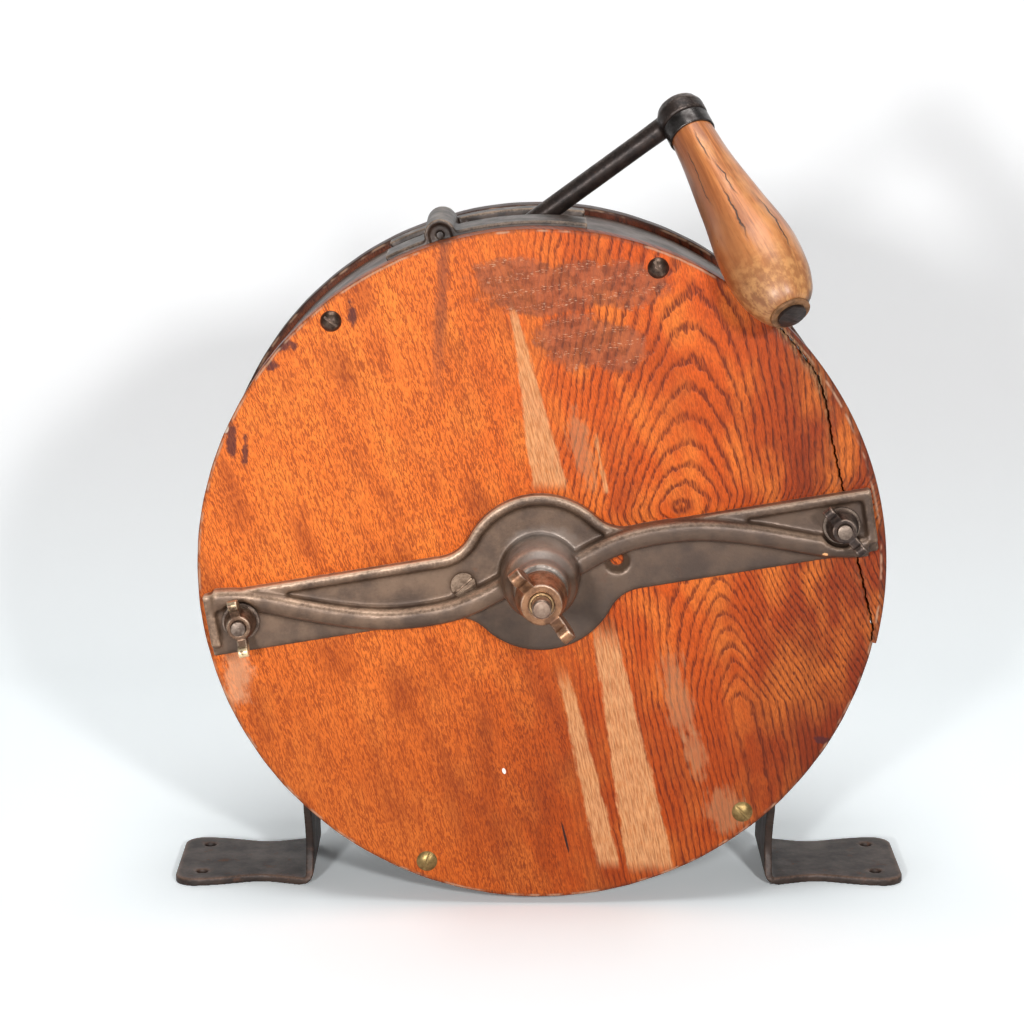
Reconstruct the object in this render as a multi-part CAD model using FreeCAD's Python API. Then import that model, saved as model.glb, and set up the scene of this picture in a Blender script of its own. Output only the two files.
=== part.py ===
import FreeCAD, Part
import math
import os

os.makedirs("parts", exist_ok=True)
V = FreeCAD.Vector

# Small hand cranked rotary knife cleaner: two oak discs with a sheet hoop between them,
# iron bars across both faces, buff wheels on a spindle inside, and a crank stowed in the
# knife slot. Everything is drawn with the drum's front face at Y = 0 and its axis on the
# Y axis, then moved so that Z = 0 is the table. Angles run from +X towards +Z.

# Clearances in millimetres, and how far a cutting tool runs past a face
SEAT = 0.1
PLAY = 0.3
RUNNING = 0.06
THROUGH = 5.0

# Drum
DRUM_RADIUS = 152.5
CHEEK = 13.0
DRUM_GAP = 84.0
HOOP_INSET = 3.5
HOOP_SHEET = 1.2
HOOP_GROOVE = 3.0
FLOOR_GAP = 3.1
BAR_TILT = 9.3
RIM_ROUND = 0.8
HOOP_RADIUS = DRUM_RADIUS - HOOP_INSET
AXIS_HEIGHT = DRUM_RADIUS + FLOOR_GAP
DRUM_DEPTH = 2 * CHEEK + DRUM_GAP
MIDDLE = DRUM_DEPTH / 2
HOOP_INSIDE = HOOP_RADIUS - HOOP_SHEET

# Split in the front disc, along the grain, through one tie bolt
SPLIT_SHIFT = 1.6
SPLIT_CRACK = 0.8

# Cast bars across the faces
BAR_INSET = 3.0
BAR_HALF_WIDTH = 14.2
BAR_PLATE = 4.6
BAR_BEAD = 2.6
BEAD_WIDTH = 4.2
DISC_RADIUS = 35.5
DISC_BLEND = 17.0
BOSS_RADIUS = 17.6
BOSS_LENGTH = 42.0
BOSS_SHOULDER = 24.0
BOSS_SHOULDER_RADIUS = 16.8
BOSS_NOSE = 31.5
BOSS_NOSE_RADIUS = 12.6
BOSS_TIP_RADIUS = 12.0
COLLAR_RADIUS = 9.4
COLLAR_LENGTH = 3.0
SPIGOT_RADIUS = 16.0
RIB_WIDTH = 9.2
RIB_HUB_HEIGHT = 16.0
RIB_END_HEIGHT = 8.0
RIB_ROUND = 3.2
RIB_CREST = 10.0
REAR_BOSS_LENGTH = 17.0
REAR_RIB_WIDTH = 7.2
REAR_RIB_HEIGHT = 14.0
REAR_BOSS_TAPER = 4.0
BAR_REACH = DRUM_RADIUS - BAR_INSET
BOSS_FRONT = -BOSS_LENGTH

# Tie bolts and their wing nuts
TIE_INSET = 17.8
TIE_REACH = DRUM_RADIUS - TIE_INSET
TIE_RADIUS = 3.175
TIE_HEAD = 11.0
TIE_HEAD_THICK = 5.0
NUT_RECESS = 9.6
WASHER_RADIUS = 8.4
WASHER_THICK = 1.4
WING_NUT_HEIGHT = 12.0
WING_NUT_RADIUS = 7.2
WING_NUT_TOP = 5.3
WING_NUT_SPAN = 25.5
WING_NUT_EAR = 4.4
LEFT_NUT_ANGLE = 102.0
RIGHT_NUT_ANGLE = -50.0
TIE_STUB = 2.0

# Proportions of a wing nut, as shares of its height, half span and radius
NUT_FOOT = 0.25
EAR_LOW = 0.36
EAR_SAG = 0.12
EAR_JOIN = 0.9
EAR_HIGH = 1.3
EAR_TIP = 0.2
EAR_BELLY = 0.72
EAR_ROOT = 0.6

# Screws
EDGE_SCREW_INSET = 7.9
EDGE_SCREW_LENGTH = 32.0
EDGE_HEAD_RADIUS = 4.7
EDGE_SHANK = 2.1
BAR_SCREW_OFFSET = 34.5
BAR_HEAD_RADIUS = 5.6
BAR_SHANK = 2.6
BAR_SCREW_LENGTH = 14.0
SLOT_WIDTH = 1.2
SLOT_DEPTH = 1.3
HEAD_EDGE = 0.4
ROUND_RISE = 2.6
LOW_RISE = 1.6
RIVET_RADIUS = 1.5
RIVET_HEAD = 2.6
RIVET_CROWN = 1.2
RIVET_INSET = 4.0
EDGE_SCREW_ANGLES = (60, 120, 240, 300)
EDGE_SLOT_ANGLES = (-60, -35, 72, -45)
BAR_SLOT_ANGLE = 32.0
EDGE_SCREW_CIRCLE = DRUM_RADIUS - EDGE_SCREW_INSET

# Wood blocks inside the hoop
BLOCK_THICK = 16.7
BLOCK_HALF_ANGLE = 5.5
LOWER_BLOCK_TOP = 40.0
BLOCK_INNER = HOOP_INSIDE - SEAT - BLOCK_THICK

# Feet
FOOT_IRON = 3.6
FOOT_FACE = 108.0
FOOT_LENGTH = 61.0
FOOT_WIDTH = 62.0
FOOT_WAIST = 50.0
FOOT_WAIST_AT = 24.0
FOOT_CORNER = 9.0
FOOT_BEND = 6.5
FOOT_HOLE_RADIUS = 2.7
FOOT_HOLE_INSET = 12.0
FOOT_HOLE_SPACING = 39.0
LEG_WAIST = 52.0
LEG_WAIST_HEIGHT = 15.0
SADDLE_END = 60.0
FOOT_SCREW_LENGTH = 15.0
FOOT_SCREW_SPACING = 34.0
FOOT_SCREW_HEAD = 4.2
FOOT_SCREW_ANGLE = 52.5
FOOT_REACH = FOOT_FACE + FOOT_LENGTH

# Knife slot and its guard, placed by angles from the bar
GUARD_START = 73.0
GUARD_END = 107.0
SLOT_END = 93.5
SLOT_WIDE = 23.0
BUFF_PLANE = CHEEK + 39.5
SLOT_FRONT = BUFF_PLANE - SLOT_WIDE / 2
SLOT_BACK = BUFF_PLANE + SLOT_WIDE / 2
GUARD_PLATE = 2.2
RAIL_HEIGHT = 3.0
RAIL_ROUND = 1.8
REAR_RAIL_WIDTH = 11.0
FRONT_RAIL_SET = 1.0
ARCH_ANGLE = 97.3
ARCH_RADIUS = 7.0
ARCH_WALL = 1.8
ARCH_RISE = 3.0
ARCH_OVERHANG = 3.0
ARCH_WEB = 2.0
ARCH_PIN = 1.5
ARCH_BACK = SLOT_BACK + ARCH_OVERHANG

# Spindle and its bearings
SPINDLE_RADIUS = 6.0
JOURNAL_RADIUS = 4.25
JOURNAL_STUB = 8.0
JOURNAL_EDGE = 0.8
STUD_RADIUS = 4.76
STUD_LENGTH = 18.0
STUD_SHOULDER = 2.0
BUSH_WALL = 3.0
KEEPER_RADIUS = 10.5
KEEPER_LENGTH = 6.0

# Pressure adjuster: a winged sleeve through the front boss, pushing a bronze cup
SLEEVE_RADIUS = 7.0
SLEEVE_INNER_END = 6.0
ADJUSTER_NECK = 4.5
ADJUSTER_HEIGHT = 17.5
ADJUSTER_RADIUS = 11.2
ADJUSTER_TOP = 8.8
ADJUSTER_SPAN = 38.0
ADJUSTER_EAR = 5.4
ADJUSTER_ANGLE = -50.0
BUSHING_WALL = 1.1
BUSHING_STAND = 0.5
CUP_RADIUS = 12.0
CUP_LENGTH = 10.0
CUP_SEAT = 1.0
ADJUSTER_BACK = BOSS_FRONT - ADJUSTER_NECK
ADJUSTER_FRONT = ADJUSTER_BACK - ADJUSTER_HEIGHT
JOURNAL_FRONT = ADJUSTER_FRONT - JOURNAL_STUB

# Buff wheels
WHEEL_RADIUS = 105.0
WHEEL_BOARD = 12.0
PAD_INNER = 34.0
PAD_GAP = 2.0
BRUSH_WIDTH = 22.0
BRUSH_INSET = 3.0
FACING = 14.0
BUFF_GAP = 0.6
HUB_RADIUS = 26.0
HUB_FLANGE = 4.0
HUB_NECK = 11.0
HUB_SCREW_CIRCLE = 18.5
HUB_SCREW_HEAD = 3.7
HUB_SCREWS = 3
HUB_PIN_RADIUS = 1.6
SPRING_RADIUS = 9.0
SPRING_WIRE = 0.8
SPRING_TURNS = 5
BRUSH_OUTER = WHEEL_RADIUS - BRUSH_INSET
BRUSH_INNER = BRUSH_OUTER - BRUSH_WIDTH
PAD_OUTER = BRUSH_INNER - PAD_GAP

# Crank, stowed with its arm down in the slot
ARM_RADIUS = 4.8
ARM_LENGTH = 128.0
ARM_CROSS_ANGLE = 89.1
ARM_CROSS_RISE = 0.9
ARM_OFF_PLANE = 0.5
ARM_RUN = V(60.0, -12.0, 45.1)
GRIP_LEAN = V(0.376, -0.655, -0.66)
KNUCKLE_RADIUS = 11.0
KNUCKLE_HALF = 5.5
KNUCKLE_EDGE = 1.0
KNUCKLE_DOME = 1.8
NECK_LENGTH = 22.0
EYE_RADIUS = 8.6
EYE_THICK = 7.5
EYE_CLEAR = 0.14
GRIP_LENGTH = 103.0
GRIP_NECK = 9.8
GRIP_BULB = 18.0
GRIP_END = 12.0
FERRULE_LENGTH = 7.6
FERRULE_WALL = 0.9
FERRULE_STEP = 0.4
PIN_RADIUS = 4.0
PIN_TENON = 2.8
PIN_HEAD_RADIUS = 6.4
PIN_HEAD = 1.6
GRIP_WASHER_RADIUS = 9.0
GRIP_WASHER = 1.4


# Frame and shape helpers

def polar(radius, angle, y=0.0):
    return V(radius * math.cos(math.radians(angle)), y, radius * math.sin(math.radians(angle)))


def rod(radius, front, back, x=0.0, z=0.0):
    return Part.makeCylinder(radius, back - front, V(x, front, z), V(0, 1, 0))


def tube(outer, inner, front, back, x=0.0, z=0.0):
    return rod(outer, front, back, x, z).cut(rod(inner, front - 1, back + 1, x, z))


def slab(x0, x1, y0, y1, z0, z1):
    return Part.makeBox(x1 - x0, y1 - y0, z1 - z0, V(x0, y0, z0))


def turned(profile):
    """A solid turned about the Y axis from (radius, y) points."""
    points = [V(radius, y, 0) for radius, y in profile]
    face = Part.Face(Part.makePolygon(points + points[:1]))
    return face.revolve(V(0, 0, 0), V(0, 1, 0), 360)


def ring_sector(inner, outer, front, back, start, end):
    """Part of a ring about the Y axis, between two angles."""
    middle = (start + end) / 2
    outer_arc = Part.Arc(polar(outer, start), polar(outer, middle), polar(outer, end))
    inner_arc = Part.Arc(polar(inner, end), polar(inner, middle), polar(inner, start))
    far_side = Part.LineSegment(polar(outer, end), polar(inner, end))
    near_side = Part.LineSegment(polar(inner, start), polar(outer, start))
    edges = [curve.toShape() for curve in (outer_arc, far_side, inner_arc, near_side)]
    sector = Part.Face(Part.Wire(edges)).extrude(V(0, back - front, 0))
    sector.translate(V(0, front, 0))
    return sector


def clocked(shape):
    """Turned with the bars, which sit askew of the feet."""
    result = shape.copy()
    result.rotate(V(0, 0, 0), V(0, 1, 0), -BAR_TILT)
    return result


def about_axis(shape, angle):
    """Turned about the drum's axis, from +X towards +Z."""
    result = shape.copy()
    result.rotate(V(0, 0, 0), V(0, 1, 0), -angle)
    return result


def mirrored(shape):
    return shape.mirror(V(0, 0, 0), V(1, 0, 0))


def aimed(shape, place, axis, upright):
    """Moves a shape drawn along +Y, with +X sideways, to a place with +Y along axis."""
    forward = V(axis).normalize()
    side = forward.cross(V(upright)).normalize()
    up = side.cross(forward)
    matrix = FreeCAD.Matrix(side.x, forward.x, up.x, place.x, side.y, forward.y, up.y, place.y,
                            side.z, forward.z, up.z, place.z, 0, 0, 0, 1)
    return shape.transformed(matrix)


def save(name, *shapes):
    solids = [solid for shape in shapes for solid in shape.Solids]
    result = Part.makeCompound(solids) if len(solids) > 1 else solids[0]
    result = result.copy()
    result.translate(V(0, -FRAME_MIDDLE, AXIS_HEIGHT))
    result.exportStep("parts/" + name + ".step")
    print(name, len(solids), round(sum(solid.Volume for solid in solids)),
          all(solid.isValid() for solid in solids))


# Stations along the axis, and rings about it

REAR_CHEEK_FRONT = CHEEK + DRUM_GAP
REAR_RAIL_BACK = SLOT_BACK + REAR_RAIL_WIDTH
SADDLE_INSIDE = HOOP_RADIUS + SEAT
SADDLE_OUTSIDE = SADDLE_INSIDE + FOOT_IRON
GUARD_INSIDE = HOOP_RADIUS + SEAT
GUARD_OUTSIDE = GUARD_INSIDE + GUARD_PLATE
RAIL_TOP = GUARD_OUTSIDE + RAIL_HEIGHT
ARCH_AXIS = GUARD_OUTSIDE + ARCH_RISE
GUARD_FRONT = CHEEK + FRONT_RAIL_SET
BAR_TOP = -(BAR_PLATE + BAR_BEAD)
REAR_FACE = DRUM_DEPTH
REAR_PLATE = REAR_FACE + BAR_PLATE
REAR_TOP = REAR_PLATE + BAR_BEAD
REAR_BOSS_END = REAR_FACE + REAR_BOSS_LENGTH
STUD_START = REAR_BOSS_END + STUD_SHOULDER
STUD_END = STUD_START + STUD_LENGTH
FRAME_MIDDLE = (JOURNAL_FRONT + STUD_END) / 2
CUP_FRONT = SLEEVE_INNER_END + SEAT
CUP_BACK = CUP_FRONT + CUP_LENGTH
ARM_AXIS = V(ARM_RUN).normalize()
ARM_CROSSING = polar(DRUM_RADIUS + ARM_CROSS_RISE, ARM_CROSS_ANGLE, BUFF_PLANE - ARM_OFF_PLANE)
FRONT_FACING_BACK = BUFF_PLANE - BUFF_GAP / 2
FRONT_BOARD_BACK = FRONT_FACING_BACK - FACING
FRONT_BOARD_FRONT = FRONT_BOARD_BACK - WHEEL_BOARD
REAR_FACING_FRONT = BUFF_PLANE + BUFF_GAP / 2
REAR_BOARD_FRONT = REAR_FACING_FRONT + FACING
REAR_BOARD_BACK = REAR_BOARD_FRONT + WHEEL_BOARD


# Right end of the throat, where the stowed crank's arm rests on the guard's plate

def arm_rest_angle():
    """Angle from the bar at which the plate's edge meets the underside of the arm."""
    slope = math.atan2(ARM_AXIS.z, ARM_AXIS.x)
    upward = V(-math.sin(slope), 0, math.cos(slope))
    underside = ARM_CROSSING.dot(upward) - ARM_RADIUS - PLAY
    return math.degrees(slope + math.asin(underside / GUARD_OUTSIDE)) - BAR_TILT


SLOT_START = arm_rest_angle()


# Screws, bolts and nuts

def screw_slot(top, angle):
    cut = slab(-20, 20, top - 1, top + SLOT_DEPTH, -SLOT_WIDTH / 2, SLOT_WIDTH / 2)
    return about_axis(cut, angle)


def round_screw(head, shank, length, angle, rise):
    """Domed slotted head of the given rise in front of Y = 0, shank behind it."""
    ball = (head * head + rise * rise) / (2 * rise)
    dome = Part.makeSphere(ball, V(0, ball - rise, 0)).common(rod(head, -rise, 0))
    return dome.cut(screw_slot(-rise, angle)).fuse(rod(shank, 0, length))


def flat_screw(head, shank, length, angle):
    """Countersunk slotted head flush with Y = 0."""
    sink = head - shank
    cone = turned([(0, 0), (head, 0), (head, HEAD_EDGE), (shank, sink + HEAD_EDGE), (shank, length),
                   (0, length)])
    return cone.cut(screw_slot(0, angle))


def screw_hole(head, shank, length):
    """Clearance for a countersunk screw of the same sizes."""
    sink = head - shank
    edge = HEAD_EDGE + SEAT
    return turned([(0, -1), (head + SEAT, -1), (head + SEAT, edge), (shank + SEAT, sink + edge),
                   (shank + SEAT, length + SEAT), (0, length + SEAT)])


def placed(shape, x, y, z, facing_back=False):
    """Moved to a place on a face, turned round when it goes in from behind."""
    result = shape.copy()
    if facing_back:
        result.rotate(V(0, 0, 0), V(0, 0, 1), 180)
    result.translate(V(x, y, z))
    return result


def wing_nut(bore, foot, top, height, span, ear, seat):
    """Tapered boss with two upswept ears, its seat at Y = seat and its ears towards the front."""
    body = turned([(bore, seat), (foot, seat), (foot, seat - height * NUT_FOOT), (top, seat - height),
                   (bore, seat - height)])
    reach = span / 2
    tip = reach * EAR_TIP
    low = seat - height * EAR_LOW
    high = seat - height * EAR_HIGH
    heel = V(foot * EAR_ROOT, low, 0)
    belly = V(reach * EAR_BELLY, low - height * EAR_SAG, 0)
    outer = V(reach, high + 1.3 * tip, 0)
    peak = V(reach - 0.6 * tip, high, 0)
    shoulder = V(reach - 1.7 * tip, high + 0.8 * tip, 0)
    root = V(top * EAR_ROOT, seat - height * EAR_JOIN, 0)
    lower = Part.Arc(heel, belly, outer)
    crown = Part.Arc(outer, peak, shoulder)
    sides = [Part.LineSegment(shoulder, root), Part.LineSegment(root, heel)]
    face = Part.Face(Part.Wire([curve.toShape() for curve in [lower, crown] + sides]))
    wing = face.extrude(V(0, 0, ear))
    wing.translate(V(0, 0, -ear / 2))
    wings = wing.fuse(wing.rotated(V(0, 0, 0), V(0, 1, 0), 180))
    return body.fuse(wings).cut(rod(bore, seat - height * 2, seat + 1)).removeSplitter()


# Oak discs

def tie_places():
    return [polar(TIE_REACH, BAR_TILT), polar(TIE_REACH, 180 + BAR_TILT)]


def edge_places():
    return [polar(EDGE_SCREW_CIRCLE, angle + BAR_TILT) for angle in EDGE_SCREW_ANGLES]


def hoop_groove(front, back):
    return tube(HOOP_RADIUS + SEAT, HOOP_INSIDE - SEAT, front, back)


def disc_holes(front, back):
    """Bolt and screw holes through one disc."""
    holes = [rod(TIE_RADIUS + PLAY, front - 1, back + 1, place.x, place.z) for place in tie_places()]
    holes += [rod(EDGE_SHANK + SEAT, front - 1, back + 1, place.x, place.z) for place in edge_places()]
    return holes


def rounded_disc(front, back):
    disc = rod(DRUM_RADIUS, front, back)
    rims = [edge for edge in disc.Edges if edge.Closed and edge.Length > DRUM_RADIUS]
    return disc.makeChamfer(RIM_ROUND, rims)


def bar_screw_drills(drill):
    return [clocked(placed(drill, side * BAR_SCREW_OFFSET, 0, 0)) for side in (-1, 1)]


def front_disc():
    """The front disc, as its main board and the strip that has split from it."""
    disc = rounded_disc(0, CHEEK)
    reach = DRUM_RADIUS + 5
    board_side = clocked(slab(-reach, TIE_REACH - SPLIT_CRACK / 2, -1, CHEEK + 1, -reach, reach))
    strip_side = clocked(slab(TIE_REACH - SPLIT_CRACK / 2, reach, -1, CHEEK + 1, -reach, reach))
    strip = disc.common(strip_side)
    strip.translate(polar(SPLIT_SHIFT, BAR_TILT))
    cuts = disc_holes(0, CHEEK)
    cuts += [hoop_groove(CHEEK - HOOP_GROOVE, CHEEK + 1), rod(SPIGOT_RADIUS + SEAT, -1, CHEEK + 1)]
    cuts += bar_screw_drills(rod(BAR_SHANK + SEAT, 0, BAR_SCREW_LENGTH - BAR_PLATE + SEAT))
    return disc.common(board_side).cut(cuts), strip.cut(cuts)


board, strip = front_disc()
save("front_cheek", board)
save("front_cheek_strip", strip)

rear_cuts = disc_holes(REAR_CHEEK_FRONT, REAR_FACE)
rear_cuts += [hoop_groove(REAR_CHEEK_FRONT - 1, REAR_CHEEK_FRONT + HOOP_GROOVE)]
rear_cuts += [rod(SPINDLE_RADIUS + BUSH_WALL + SEAT, REAR_CHEEK_FRONT - 1, REAR_FACE + 1)]
rear_cuts += bar_screw_drills(rod(BAR_SHANK + SEAT, REAR_PLATE - BAR_SCREW_LENGTH - SEAT, REAR_FACE))
save("rear_cheek", rounded_disc(REAR_CHEEK_FRONT, REAR_FACE).cut(rear_cuts))


# Sheet hoop with the slot cut through it

def foot_screw_places():
    """Angle and depth of each foot's screws, up through the saddle, hoop and block."""
    return [(angle, MIDDLE + side * FOOT_SCREW_SPACING / 2)
            for angle in (-FOOT_SCREW_ANGLE, 180 + FOOT_SCREW_ANGLE) for side in (-1, 1)]


def radial(shape, angle, depth):
    """A shape drawn along +Y, laid along a radius towards the axis from the hoop's outside."""
    inward = -polar(1, angle)
    return aimed(shape, polar(SADDLE_OUTSIDE, angle, depth), inward, V(0, 1, 0))


def guard_rivet_places():
    """Angle and depth of each rivet: one between the rails, three behind the rear rail."""
    behind = (REAR_RAIL_BACK + REAR_CHEEK_FRONT) / 2
    last = GUARD_END - RIVET_INSET
    return [(last, BUFF_PLANE), (GUARD_START + RIVET_INSET, behind), (90, behind), (last, behind)]


def guard_rivet_holes():
    start = HOOP_INSIDE - THROUGH
    return [Part.makeCylinder(RIVET_RADIUS + SEAT, 3 * THROUGH, polar(start, angle, depth), polar(1, angle))
            for angle, depth in guard_rivet_places()]


def hoop():
    """Sheet ring held in a groove of each disc, with the throat, screw holes and rivet holes through it."""
    ring = tube(HOOP_RADIUS, HOOP_INSIDE, CHEEK - HOOP_GROOVE + SEAT, REAR_CHEEK_FRONT + HOOP_GROOVE - SEAT)
    throat = ring_sector(HOOP_INSIDE - THROUGH, HOOP_RADIUS + THROUGH, SLOT_FRONT, SLOT_BACK, SLOT_START,
                         SLOT_END)
    return ring.cut(foot_screw_holes + [clocked(hole) for hole in guard_rivet_holes() + [throat]])


foot_screw_holes = [radial(screw_hole(FOOT_SCREW_HEAD, EDGE_SHANK, FOOT_SCREW_LENGTH), angle, depth)
                    for angle, depth in foot_screw_places()]
save("hoop", hoop())


# Wood blocks inside the hoop, which take the edge screws and the foot screws

def rim_block(start, end):
    block = ring_sector(BLOCK_INNER, HOOP_INSIDE - SEAT, CHEEK, REAR_CHEEK_FRONT, start, end)
    reach = EDGE_SCREW_LENGTH + SEAT
    drills = [rod(EDGE_SHANK + SEAT, front, back, place.x, place.z) for place in edge_places()
              for front, back in ((0, reach), (REAR_FACE - reach, REAR_FACE))]
    return block.cut(drills + foot_screw_holes)


def block_about(angle):
    middle = angle + BAR_TILT
    return rim_block(middle - BLOCK_HALF_ANGLE, middle + BLOCK_HALF_ANGLE)


LEFT_BLOCK_END = EDGE_SCREW_ANGLES[2] + BAR_TILT + BLOCK_HALF_ANGLE

save("upper_blocks", *[block_about(angle) for angle in EDGE_SCREW_ANGLES[:2]])
save("lower_blocks", rim_block(-SADDLE_END - 1, -LOWER_BLOCK_TOP),
     rim_block(180 + LOWER_BLOCK_TOP, LEFT_BLOCK_END))


# Screws in the drum's edge

def edge_screw(angle, slot_angle, rise, behind):
    place = polar(EDGE_SCREW_CIRCLE, angle + BAR_TILT)
    screw = round_screw(EDGE_HEAD_RADIUS, EDGE_SHANK, EDGE_SCREW_LENGTH, slot_angle, rise)
    return placed(screw, place.x, REAR_FACE if behind else 0, place.z, behind)


front_screws = [edge_screw(angle, slot_angle, rise, False) for angle, slot_angle, rise in zip(
    EDGE_SCREW_ANGLES, EDGE_SLOT_ANGLES, (ROUND_RISE, ROUND_RISE, LOW_RISE, LOW_RISE))]
save("iron_edge_screws", *front_screws[:2])
save("brass_edge_screws", *front_screws[2:])
save("rear_edge_screws", *[edge_screw(angle, slot_angle, ROUND_RISE, True)
                           for angle, slot_angle in zip(EDGE_SCREW_ANGLES, EDGE_SLOT_ANGLES)])


# Cast bars

def bar_outline(reach, half_width, disc, blend):
    """Arms and round middle of a bar, with blended inner corners, as a closed face on Y = 0."""
    across = math.sqrt((disc + blend) ** 2 - (half_width + blend) ** 2)
    corner = V(across, 0, half_width + blend)
    on_arm = V(across, 0, half_width)
    on_disc = corner * (disc / (disc + blend))
    toward = (V(0, 0, -1) + (on_disc - corner).normalize()).normalize()
    on_blend = corner + toward * blend
    flip = [V(1, 0, 1), V(-1, 0, 1), V(-1, 0, -1), V(1, 0, -1)]

    def at(point, quarter):
        return V(point.x * flip[quarter].x, 0, point.z * flip[quarter].z)

    edges = []
    for first, second in ((0, 1), (2, 3)):
        side = flip[first].z
        edges.append(Part.LineSegment(at(V(reach, 0, half_width), first), at(on_arm, first)).toShape())
        edges.append(Part.Arc(at(on_arm, first), at(on_blend, first), at(on_disc, first)).toShape())
        edges.append(Part.Arc(at(on_disc, first), V(0, 0, side * disc), at(on_disc, second)).toShape())
        edges.append(Part.Arc(at(on_disc, second), at(on_blend, second), at(on_arm, second)).toShape())
        edges.append(Part.LineSegment(at(on_arm, second), at(V(reach, 0, half_width), second)).toShape())
        edges.append(Part.LineSegment(at(V(reach, 0, half_width), second),
                                      at(V(reach, 0, half_width), (second + 1) % 4)).toShape())
    return Part.Face(Part.Wire(edges))


def bar_plate():
    """Plate with a raised bead along its upper edge and its ends, its back at Y = 0 and its bead in front."""
    outside = bar_outline(BAR_REACH, BAR_HALF_WIDTH, DISC_RADIUS, DISC_BLEND).extrude(V(0, BAR_TOP, 0))
    pocket = bar_outline(BAR_REACH - BEAD_WIDTH, BAR_HALF_WIDTH - BEAD_WIDTH, DISC_RADIUS - BEAD_WIDTH,
                         DISC_BLEND + BEAD_WIDTH).extrude(V(0, -BAR_BEAD - 1, 0))
    pocket.translate(V(0, -BAR_PLATE, 0))
    plain_edge = slab(-DRUM_RADIUS, DRUM_RADIUS, BAR_TOP - 1, -BAR_PLATE,
                      -DRUM_RADIUS, BEAD_WIDTH - BAR_HALF_WIDTH)
    return outside.cut([pocket, plain_edge])


# Middle of the curved rib, as shares of the bar's reach and of the rib's crest
RIB_PATH = ((0.07, 0), (0.16, 0.5), (0.25, 0.88), (0.36, 1), (0.47, 0.89), (0.59, 0.49), (0.73, -0.2),
            (0.86, -0.86), (0.97, -1.12))


def s_rib():
    """One arm's curved rib: out of the boss, over to the upper edge, down to the far lower corner."""
    path = [(share * BAR_REACH, up * RIB_CREST) for share, up in RIB_PATH]
    sides = []
    for side in (-1, 1):
        points = []
        for index, (along, up) in enumerate(path):
            before, after = path[max(index - 1, 0)], path[min(index + 1, len(path) - 1)]
            slope = V(after[0] - before[0], 0, after[1] - before[1]).normalize()
            points.append(V(along - side * slope.z * RIB_WIDTH / 2, 0, up + side * slope.x * RIB_WIDTH / 2))
        curve = Part.BSplineCurve()
        curve.interpolate(points)
        sides.append((curve.toShape(), points))
    ends = [Part.LineSegment(sides[0][1][index], sides[1][1][index]).toShape() for index in (0, -1)]
    band = Part.Face(Part.Wire([sides[0][0], ends[1], sides[1][0], ends[0]]))
    rib = band.extrude(V(0, -RIB_HUB_HEIGHT, 0))
    over = -RIB_HUB_HEIGHT - THROUGH
    slope = Part.Face(Part.makePolygon([V(0, -RIB_HUB_HEIGHT, 0), V(BAR_REACH, -RIB_END_HEIGHT, 0),
                                        V(BAR_REACH, over, 0), V(0, over, 0), V(0, -RIB_HUB_HEIGHT, 0)]))
    wedge = slope.extrude(V(0, 0, 4 * BAR_HALF_WIDTH))
    wedge.translate(V(0, 0, -2 * BAR_HALF_WIDTH))
    rib = rib.cut(wedge)
    crown = [edge for edge in rib.Edges
             if edge.BoundBox.YMax < -RIB_END_HEIGHT + 1 and edge.Length > BAR_REACH / 2]
    return rib.makeFillet(RIB_ROUND, crown)


def straight_rib():
    """One arm's plain rib on the rear bar, lower towards its end."""
    root, end = BOSS_RADIUS - THROUGH, TIE_REACH - NUT_RECESS
    side = Part.Face(Part.makePolygon([V(root, 0, 0), V(end, 0, 0), V(end, -RIB_END_HEIGHT, 0),
                                       V(root, -REAR_RIB_HEIGHT, 0), V(root, 0, 0)]))
    rib = side.extrude(V(0, 0, REAR_RIB_WIDTH))
    rib.translate(V(0, 0, -REAR_RIB_WIDTH / 2))
    return rib


def both_arms(rib):
    return [rib, rib.rotated(V(0, 0, 0), V(0, 1, 0), 180)]


def nut_recesses():
    return [rod(NUT_RECESS, BOSS_FRONT, -BAR_PLATE, side * TIE_REACH) for side in (-1, 1)]


def tie_holes():
    return [rod(TIE_RADIUS + PLAY, BOSS_FRONT, 1, side * TIE_REACH) for side in (-1, 1)]


def bar_screw_holes():
    hole = screw_hole(BAR_HEAD_RADIUS, BAR_SHANK, BAR_SCREW_LENGTH)
    return [placed(hole, side * BAR_SCREW_OFFSET, -BAR_PLATE, 0) for side in (-1, 1)]


def front_bar():
    """Plate, two curved ribs, a stepped boss for the adjuster and a spigot through the disc."""
    halfway = (BOSS_SHOULDER + BOSS_NOSE) / 2
    dome = (BOSS_RADIUS * 2 + BOSS_NOSE_RADIUS) / 3
    collar_back = BOSS_FRONT + COLLAR_LENGTH
    boss = turned([(0, 0), (BOSS_RADIUS, 0), (BOSS_RADIUS, BAR_TOP), (BOSS_SHOULDER_RADIUS, -BOSS_SHOULDER),
                   (dome, -halfway), (BOSS_NOSE_RADIUS, -BOSS_NOSE), (BOSS_TIP_RADIUS, collar_back),
                   (COLLAR_RADIUS, collar_back), (COLLAR_RADIUS, BOSS_FRONT), (0, BOSS_FRONT)])
    spigot = rod(SPIGOT_RADIUS, -1, CHEEK)
    bar = bar_plate().fuse(both_arms(s_rib()) + [boss, spigot])
    cuts = nut_recesses() + tie_holes() + bar_screw_holes()
    cuts += [rod(SLEEVE_RADIUS + RUNNING, BOSS_FRONT - 1, CHEEK + 1)]
    cuts += [rod(CUP_RADIUS + RUNNING, CUP_SEAT, CHEEK + 1)]
    return clocked(bar.cut(cuts).removeSplitter())


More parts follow.
